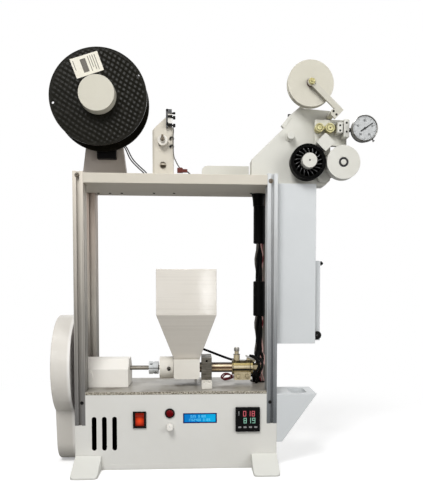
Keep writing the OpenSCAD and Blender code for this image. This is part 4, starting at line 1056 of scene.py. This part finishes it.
def add_head_details():
    step = Form().plate([(207, 677), (213, 671), (228, 693), (224, 698)], 39, 52)
    step.add("head_step", HEAD_PAINT, "paint", edge=0.6)
    clip = Form().block((223, 58, 698), (229, 66, 704)).block((224, 56, 695), (228, 60, 700))
    clip.add("head_clip", BLACK, "black_plastic", edge=0.4)


# Front panel: lamp, rocker, displays and knob
LAMP = middle("indicator_lamp")
ROCKER = middle("switch_rocker")
LCD = before("lcd_display")
METER = before("temperature_meter")
METER_SIDE = 48
METER_DIGITS_HIGH = 9.4
KNOB = before("speed_knob")
ROCKER_RED = lit("rocker_lit", (88, 4, 6), (240, 74, 34), (ROCKER.x, ROCKER.y - 6, ROCKER.z - 2), 10)
LCD_EDGE = lit("lcd_edge", (6, 26, 88), (12, 40, 112))
LCD_FIELD = lit("lcd_field", (6, 106, 190), (14, 176, 228), (LCD.x + 27, LCD.y, LCD.z), 36)
LCD_INK = lit("lcd_ink", (92, 208, 250), (132, 224, 255))
RED_DIGITS = lit("red_digits", (206, 84, 96), (238, 168, 172))
GREEN_DIGITS = lit("green_digits", (136, 196, 172), (196, 232, 214))


def add_lamp():
    ring = Form().ring((LAMP.x, 0, LAMP.z), FRONT, 7.2, 9.5, 3.2, 0.9)
    ring.add("lamp_ring", BLACK, "black_plastic", stands_for="indicator_lamp")
    lens = Form().turned((LAMP.x, 0, LAMP.z), FRONT, [
        (7.2, 0), (7.2, 2.2), (6.6, 3.2), (5.2, 3.9), (3.4, 4.4), (1.4, 4.6),
    ], 40)
    lens.add("lamp_lens", LENS_RED, "switch_red")


def add_rocker():
    soften("switch_rocker", ROCKER_RED, 0.5)
    low, high = extent("switch_bezel")
    bars = Form()
    for left, bottom, right, top in (
        (low.x, low.z, low.x + 3.4, high.z), (high.x - 3.4, low.z, high.x, high.z),
        (low.x, low.z, high.x, low.z + 2.4), (low.x, high.z - 2.4, high.x, high.z),
    ):
        bars.bar(left, bottom, right, top, low.y - 0.8, low.y)
    bars.add("switch_frame", BLACK, "black_plastic", edge=0.4)


def add_lcd():
    soften("lcd_display", LCD_EDGE, 0.3)
    front = LCD.y - 0.3
    field = Form().bar(LCD.x - 30.4, LCD.z - 7.6, LCD.x + 30.4, LCD.z + 7.6, front, LCD.y)
    field.add("lcd_field", LCD_FIELD, "display_blue", edge=0.12)
    ink = write_digits(Form(), "025 0180", LCD.x - 18, LCD.z + 1.6, 4, front, 0.95, 0.16)
    write_digits(ink, "1752400 0185", LCD.x - 23, LCD.z - 5.4, 4, front, 0.92, 0.16)
    ink.add("lcd_digits", LCD_INK, "paint")


def add_meter():
    left, low = METER.x - METER_SIDE / 2, METER.z - METER_SIDE / 2
    front = METER.y - 0.5
    pane = Form().bar(left + 2.6, low + 12, left + 45.4, low + 45, front, METER.y)
    pane.add("meter_window", GLOSS_BLACK, "black_plastic", edge=0.2)
    for digits, x, z, name, finish, slot in (
        ("018", 15.5, 31, "meter_red_digits", RED_DIGITS, "switch_red"),
        ("819", 16.5, 17.4, "meter_green_digits", GREEN_DIGITS, "paint"),
    ):
        row = write_digits(Form(), digits, left + x, low + z, METER_DIGITS_HIGH, front, 0.9, 0.12)
        row.add(name, finish, slot)
    keys = Form()
    for share in (0.17, 0.39, 0.61, 0.83):
        x = left + METER_SIDE * share
        keys.bar(x - 3, low + 7.4, x + 3, low + 10.6, METER.y - 0.6, METER.y)
    for z in (36, 32.5, 38.6):
        keys.bar(left + 5.4, low + z, left + 7.6, low + z + 1.8, METER.y - 0.7, METER.y - 0.4)
    keys.add("meter_keys", KEY_GREY, "alloy", edge=0.25)


def add_knob_mark():
    mark = Form().bar(KNOB.x - 0.5, KNOB.z + 1, KNOB.x + 0.5, KNOB.z + 5.2, KNOB.y - 0.2, KNOB.y + 0.4)
    mark.ring((KNOB.x, 0, KNOB.z), FRONT, 3.4, 5.6, 1.2)
    mark.add("knob_mark", COOL_PAINT, "paint", "speed_knob", edge=0.1)


# Melt line
SHAFT_AXIS = middle("drive_shaft")
HEATER_X = extent("heater_band")[0].x
HEATER_RADIUS = 15.5
COUPLING_RADIUS = 13.25
BARREL_END = extent("barrel")[1].x
PLATE_TOP = extent("base_plate")[1].z


def on_shaft(x, behind=0, above=0):
    """Place along the shaft's line, or off it."""
    return Vector((x, SHAFT_AXIS.y + behind, SHAFT_AXIS.z + above))


def shaft_screw(form, x, tilt, out, radius, high):
    """Screw head that faces away from the shaft's line, tilted up from the front."""
    turn = radians(tilt)
    way = Vector((0, -cos(turn), sin(turn)))
    return form.screw(on_shaft(x) + way * out, way, radius, high)


def add_melt_screws():
    coupling_x = extent("shaft_coupling")[0].x
    dark = Form()
    for along, tilt in ((5.5, 42), (14, -42)):
        shaft_screw(dark, coupling_x + along, tilt, COUPLING_RADIUS - 0.8, 2.6, 1)
    dark.add("coupling_screws", BLACK, "black_plastic", "screw")
    low, high = extent("thrust_collar")
    screw = shaft_screw(Form(), low.x + 19, -12, (high.z - low.z) / 2 - 2.6, 3.4, 2)
    screw.add("collar_screw", BLACK, "black_plastic")


def add_heater_details():
    straps = Form()
    for x in (HEATER_X + 3, BARREL_END - 12):
        straps.ring(on_shaft(x), RIGHT, HEATER_RADIUS - 0.4, HEATER_RADIUS + 0.7, 5, 0.3)
    for x in (HEATER_X + 12, HEATER_X + 31):
        straps.nut(on_shaft(x, -13, -17), FRONT, 8, 3.4)
    straps.add("heater_straps", BRASS, "brass")
    # Black block in the heater's split and black rings at its seams: painted shade where the gaps are dark.
    gaps = Form().block(
        on_shaft(HEATER_X + 1, -HEATER_RADIUS - 0.9, -5.4), on_shaft(BARREL_END - 2, 1.6 - HEATER_RADIUS, -2)
    )
    for x in (HEATER_X + 1, BARREL_END - 6):
        gaps.ring(on_shaft(x), RIGHT, HEATER_RADIUS - 0.6, HEATER_RADIUS + 0.3, 1.2, 0.2)
    gaps.add("heater_gaps", BLACK, "black_plastic")
    stud = Form().turned(on_shaft(HEATER_X + 10, 0, HEATER_RADIUS + 11), UP, [
        (4.5, 0), (4.5, 7), (5.6, 7.6), (5.6, 13), (4.6, 15),
    ], 28)
    stud.ring(on_shaft(HEATER_X + 10, 0, HEATER_RADIUS + 10.8), UP, 3, 7.4, 1.4)
    stud.add("heater_stud", NICKEL, "alloy")
    outline = [(-15, 7.4), (-13, 9.6), (4, 1.6), (2.6, -1)]
    top = SHAFT_AXIS.z + HEATER_RADIUS
    tag = Form().plate([(BARREL_END + x, top + z) for x, z in outline], SHAFT_AXIS.y - 7, SHAFT_AXIS.y + 5.4)
    tag.screw(on_shaft(BARREL_END - 6, 0, HEATER_RADIUS + 4.4), UP, 2.6, 3)
    tag.add("heater_tag", PALE_NICKEL, "alloy", edge=0.3)


# Leads, by the same points as in the part's source
BUNDLE = middle("cable_bundle")
BUNDLE_LOW, BUNDLE_HIGH = (corner.z for corner in extent("cable_bundle"))
BUNDLE_FOOT = (BUNDLE.x, BUNDLE.y, BUNDLE_LOW)
HEATER_START = on_shaft(HEATER_X)
HEATER_END = on_shaft(BARREL_END)
REAR_HOLE = (HEATER_X, SHAFT_AXIS.y, PLATE_TOP)
HEATER_LEADS = [
    moved(BUNDLE_FOOT, [(-3, -4, 0), (-3, -4, -8), (-4, -9, -14)])
    + moved(HEATER_END, [(11, 23, 12), (8, 13, 16), (2, 6, 22.5), (-6, 3, 22.5)]),
    moved(BUNDLE_FOOT, [(4, 0, 0), (4, 0, -13), (4, -5, -25)])
    + moved(HEATER_END, [(20, 27, -7), (17, 15, -14), (10, 5, -18), (2, 1, -18.5), (-4, 1, -18.5)]),
    moved(HEATER_START, [
        (6, 11, 15), (-2, 12, 15), (-27, 23, 23), (-51, 38, 31), (-66, 48, 34), (-74, 58, 22), (-76, 68, -6),
    ]) + moved(REAR_HOLE, [(-76, 71, 12), (-76, 71, 0)]),
]
PROBE_LEAD = moved(HEATER_START, [
    (4, -7, -18), (0, -7, -18), (-6, -13, -14), (-14, -15, -14), (-20, -15, -20), (-16, -13, -25),
    (-6, -8, -24), (0, -5, -22), (4, -5, -22),
])
PROBE_STARTS = [(0, 0, 0), (-3, -2, 2.4)]
PEDESTAL_FOOT = (middle("spool_pedestal").x, extent("spool_pedestal")[0].y, DECK_TOP)
POST_FOOT = (middle("guide_post").x, POST_FRONT, DECK_TOP)
DECK_LEADS = [
    moved(PEDESTAL_FOOT, [
        (39, 15, 77), (43, 16, 70), (52, 19, 51), (67, 21, 35), (79, 22, 24), (88, 23, 12), (90, 23, 0),
    ]),
    moved(PEDESTAL_FOOT, [
        (39, 20, 82), (45, 20, 74), (56, 21, 53), (71, 22, 37), (83, 23, 26), (93, 24, 12), (95, 24, 0),
    ]),
    moved(POST_FOOT, [(46, 1, 12), (53, 2, 6), (56, 3, 2), (57, 3, 0)]),
]
SWITCH_LEAD = moved(POST_FOOT, [
    (20, -5, 95.5), (21, -4, 88), (20, -4, 75), (21, -4, 43), (25, -3, 31), (31, -1, 20), (37, 1, 13),
])
PLUG_CORNERS = moved(POST_FOOT, [(28, -5, 8), (48, 5, 17)])
# Wires from the bundle down to holes in the plate behind the barrel's end
FRONT_TAILS = [
    [(150, 93, 212), (158, 86, 210), (166, 80, 202), (168, 78, 192), (163, 78, 181), (154, 80, 172)],
    [(166, 102, 208), (173, 92, 204), (176, 86, 192), (171, 84, 180), (166, 90, 166), (164, 98, 153)],
]
BLACK_TAILS = [
    [(168, 134, 216), (164, 128, 204), (158, 121, 192), (156, 117, 178), (160, 121, 164), (162, 124, 153)],
    [(178, 134, 216), (181, 127, 203), (179, 118, 190), (173, 114, 176), (171, 118, 163), (172, 122, 153)],
    [(173, 131, 216), (170, 123, 205), (167, 114, 196), (165, 111, 182), (166, 114, 166), (168, 118, 153)],
    [(176, 141, 216), (172, 139, 198), (166, 137, 182), (164, 135, 168), (163, 134, 153)],
]
PINK_TAILS = [
    [(179, 137, 218), (184, 128, 206), (183, 118, 194), (178, 112, 180), (176, 113, 166), (178, 117, 153)],
    [(170, 139, 218), (177, 124, 200), (173, 110, 188), (176, 108, 174), (181, 112, 160), (182, 115, 153)],
]
RED_TAILS = [
    [(175, 136, 217), (180, 126, 199), (176, 114, 184), (169, 109, 172), (174, 112, 160), (175, 114, 153)],
]
# Each piece of leads: name, finish, radius, sides, routes, and the CAD node it stands for
LEADS = [
    ("heater_leads_round", RUBBER, 2.5, 14, HEATER_LEADS, "heater_leads"),
    ("probe_lead", RED_WIRE, 1.5, 12, [moved(start, PROBE_LEAD) for start in PROBE_STARTS], None),
    ("front_tail", RUBBER, 2.9, 10, FRONT_TAILS, None),
    ("black_tail", RUBBER, 3.2, 10, BLACK_TAILS, None),
    ("pink_tail", PINK_WIRE, 1.5, 10, PINK_TAILS, None),
    ("red_tail", RED_WIRE, 1.5, 10, RED_TAILS, None),
    ("deck_leads_round", RUBBER, 1.25, 10, DECK_LEADS, "deck_leads"),
    ("switch_lead", GREY_WIRE, 1.1, 10, [SWITCH_LEAD], None),
]
WIRE_HOLES = [(165, 122), (177, 116), (163, 134)]


def add_leads():
    for name, finish, radius, sides, routes, node in LEADS:
        form = Form()
        for route in routes:
            form.tube(eased(route), radius, sides)
        form.add(name, finish, "cable", stands_for=node)
    glands = Form()
    for x, y in WIRE_HOLES:
        glands.ring((x, y, PLATE_TOP), UP, 5, 9, 2.4, 0.8)
    glands.add("wire_glands", RUBBER, "cable")
    low, high = PLUG_CORNERS
    waist = low.x + 11
    plug = Form().block(low, (waist, high.y, high.z))
    plug.block((waist, low.y + 1, low.z + 1), (high.x, high.y - 1, high.z - 2))
    plug.block((low.x + 3, low.y + 3, high.z), (low.x + 9, high.y - 3, high.z + 1.4))
    plug.add("lead_connector", PLUG_BROWN, "cable", edge=0.4)


# Cable bundle: twisted strands in two sleeves and a boot, with three loose wires in front of them
BUNDLE_STRANDS, STRAND_STEPS = 5, 40
STRAND_RADIUS, STRAND_SPREAD, STRAND_SWELL = 2.8, 4.6, 0.7
STRAND_TWIST, STRAND_WAVE = 2.2 * pi, 9 * pi
SLEEVES = [(0.74, 0.997), (0.248, 0.486)]
SLEEVED_HIGH = BUNDLE_HIGH - 24 - BUNDLE_LOW
BOOT_PROFILE = [(11.6, 0), (12, 9), (13, 18), (15.4, 25.8)]
LOOSE_STEPS, LOOSE_REACH, LOOSE_DEPTH = 30, 8.4, 0.6
LOOSE_SWAY, LOOSE_WAVE = 1.1, 5 * pi
LOOSE_WIRES = [
    ("red_strand", RED_WIRE, 0.3, 1.5), ("pink_strand", PINK_WIRE, -0.25, 1.5),
    ("grey_strand", GREY_WIRE, 3.2, 2.4),
]


def add_bundle():
    strands = Form()
    for count, turn in enumerate(full_turn(BUNDLE_STRANDS)):
        route = []
        for step in range(STRAND_STEPS + 1):
            share = step / STRAND_STEPS
            twist = turn + STRAND_TWIST * share
            spread = STRAND_SPREAD + STRAND_SWELL * sin(STRAND_WAVE * share + count)
            x, y = BUNDLE.x + spread * cos(twist), BUNDLE.y + spread * sin(twist)
            route.append((x, y, BUNDLE_LOW + share * (BUNDLE_HIGH - BUNDLE_LOW - 1)))
        strands.tube(route, STRAND_RADIUS, 12)
    for start, end in SLEEVES:
        length = (end - start) * SLEEVED_HIGH
        strands.turned((BUNDLE.x, BUNDLE.y, BUNDLE_LOW + start * SLEEVED_HIGH), UP, [
            (10.5, 0), (12.5, 1.5), (12.5, length - 1.5), (10.5, length),
        ], 40)
    strands.turned((BUNDLE.x - 2, BUNDLE.y, BUNDLE_HIGH - 26), UP, BOOT_PROFILE, 40)
    strands.add("cable_strands", RUBBER, "cable", stands_for="cable_bundle")
    for name, finish, side, radius in LOOSE_WIRES:
        route = []
        for step in range(LOOSE_STEPS + 1):
            share = step / LOOSE_STEPS
            twist = side + LOOSE_SWAY * sin(LOOSE_WAVE * share + side)
            x = BUNDLE.x + LOOSE_REACH * cos(twist)
            y = BUNDLE.y - 3 + LOOSE_REACH * sin(twist) * LOOSE_DEPTH
            route.append((x, y, BUNDLE_LOW - 4 + share * (BUNDLE_HIGH - BUNDLE_LOW + 3)))
        Form().tube(route, radius).add(name, finish, "cable")


def add_side_details():
    low, high = extent("side_plate")
    centre = middle("side_plate")
    bolt = Form().turned((high.x - 2, centre.y, high.z - 5), RIGHT, [(2.2, 0), (2.2, 8)], 20)
    bolt.nut((high.x, centre.y, high.z - 5), RIGHT, 7.6, 4)
    for inner, outer, far, ease in ((3, 8.4, 3, 1.2), (2, 5, 4.4, 0.8)):
        bolt.ring((centre.x, low.y - 0.2, low.z + 10.5), FRONT, inner, outer, far, ease)
    bolt.add("side_plate_fittings", BLACK, "black_plastic")


# Lamps: name, place, aim, width and height, all in metres, and power in watts
LAMPS = [
    ("key", (-0.55, -1.6, 2.0), (0, 0, 0.35), 1.0, 1.0, 36),
    ("window", (0.02, -1.795, 0.32), (-0.05, 0, 0.35), 0.06, 0.22, 0.24),
    ("fill", (1.3, -1.5, 0.9), (0, 0, 0.4), 1.2, 1.2, 12),
    ("rear", (0.2, 1.6, 1.6), (0, 0, 0.4), 1.2, 1.2, 10),
]
FLOOR_SIZE = 6
SHADOW_REACH = 1500
WHITE = (1, 1, 1, 1)


def set_floor():
    """Pale floor that is white to the camera except where a shadow falls."""
    data = bpy.data.meshes.new("floor")
    signs = ((-1, -1), (1, -1), (1, 1), (-1, 1))
    data.from_pydata([(x * FLOOR_SIZE, y * FLOOR_SIZE, 0) for x, y in signs], [], [(0, 1, 2, 3)])
    floor = put("floor", data)
    finish = Finish("floor")
    seen = finish.add("LightPath", out="Is Camera Ray")
    beside = finish.near((0, SHAFT_AXIS.y, 0), SHADOW_REACH).between(0.2, 0.6)
    plain = finish.add("BsdfDiffuse", {"Color": (0.42, 0.42, 0.42, 1)})
    pale = finish.add("BsdfDiffuse", {"Color": (0.9, 0.9, 0.9, 1)})
    glow = finish.add("Emission", {"Color": WHITE, "Strength": 0.36})
    white = finish.add("Emission", {"Color": WHITE, "Strength": 1})
    shadowed = finish.add("AddShader", {0: pale, 1: glow})
    viewed = finish.add("MixShader", {0: beside, 1: white, 2: shadowed})
    shown = finish.add("MixShader", {0: seen, 1: plain, 2: viewed})
    finish.add("OutputMaterial", {"Surface": shown})
    data.materials.append(finish.material)


def set_surround():
    """Surround that is white where it is seen, and dimmer as a light."""
    world = bpy.data.worlds.new("surround")
    bpy.context.scene.world = world
    network = Network(world)
    kinds = ("Is Camera Ray", "Is Glossy Ray", "Is Transmission Ray")
    camera, glossy, through = (network.add("LightPath", out=kind) for kind in kinds)
    dim = network.add("Background", {"Strength": 0.4})
    white = network.add("Background", {"Color": WHITE, "Strength": 1})
    seen = camera.larger(glossy).larger(through)
    shown = network.add("MixShader", {0: seen, 1: dim, 2: white})
    network.add("OutputWorld", {"Surface": shown})


def set_lamps():
    for name, place, aim, wide, high, power in LAMPS:
        lamp = bpy.data.lights.new(name, "AREA")
        lamp.shape = "ELLIPSE"
        lamp.size = wide
        lamp.size_y = high
        lamp.energy = power
        way = Vector(aim) - Vector(place)
        turn = way.to_track_quat("-Z", "Y").to_matrix().to_4x4()
        put(name, lamp).matrix_world = Matrix.Translation(place) @ turn


set_camera()
add_carried()
add_housing()
add_flange("spool_front_flange", -1)
add_flange("spool_rear_flange", 1)
for add_details in (
    add_label, add_screws, add_post_details, add_limit_switch, add_guide_axle, add_rollers, add_dial_gauge,
    add_wheel_details, add_head_details, add_lamp, add_rocker, add_lcd, add_meter, add_knob_mark,
    add_melt_screws, add_heater_details, add_leads, add_bundle, add_side_details,
):
    add_details()
bpy.context.scene.view_settings.view_transform = "Standard"
set_floor()
set_surround()
set_lamps()
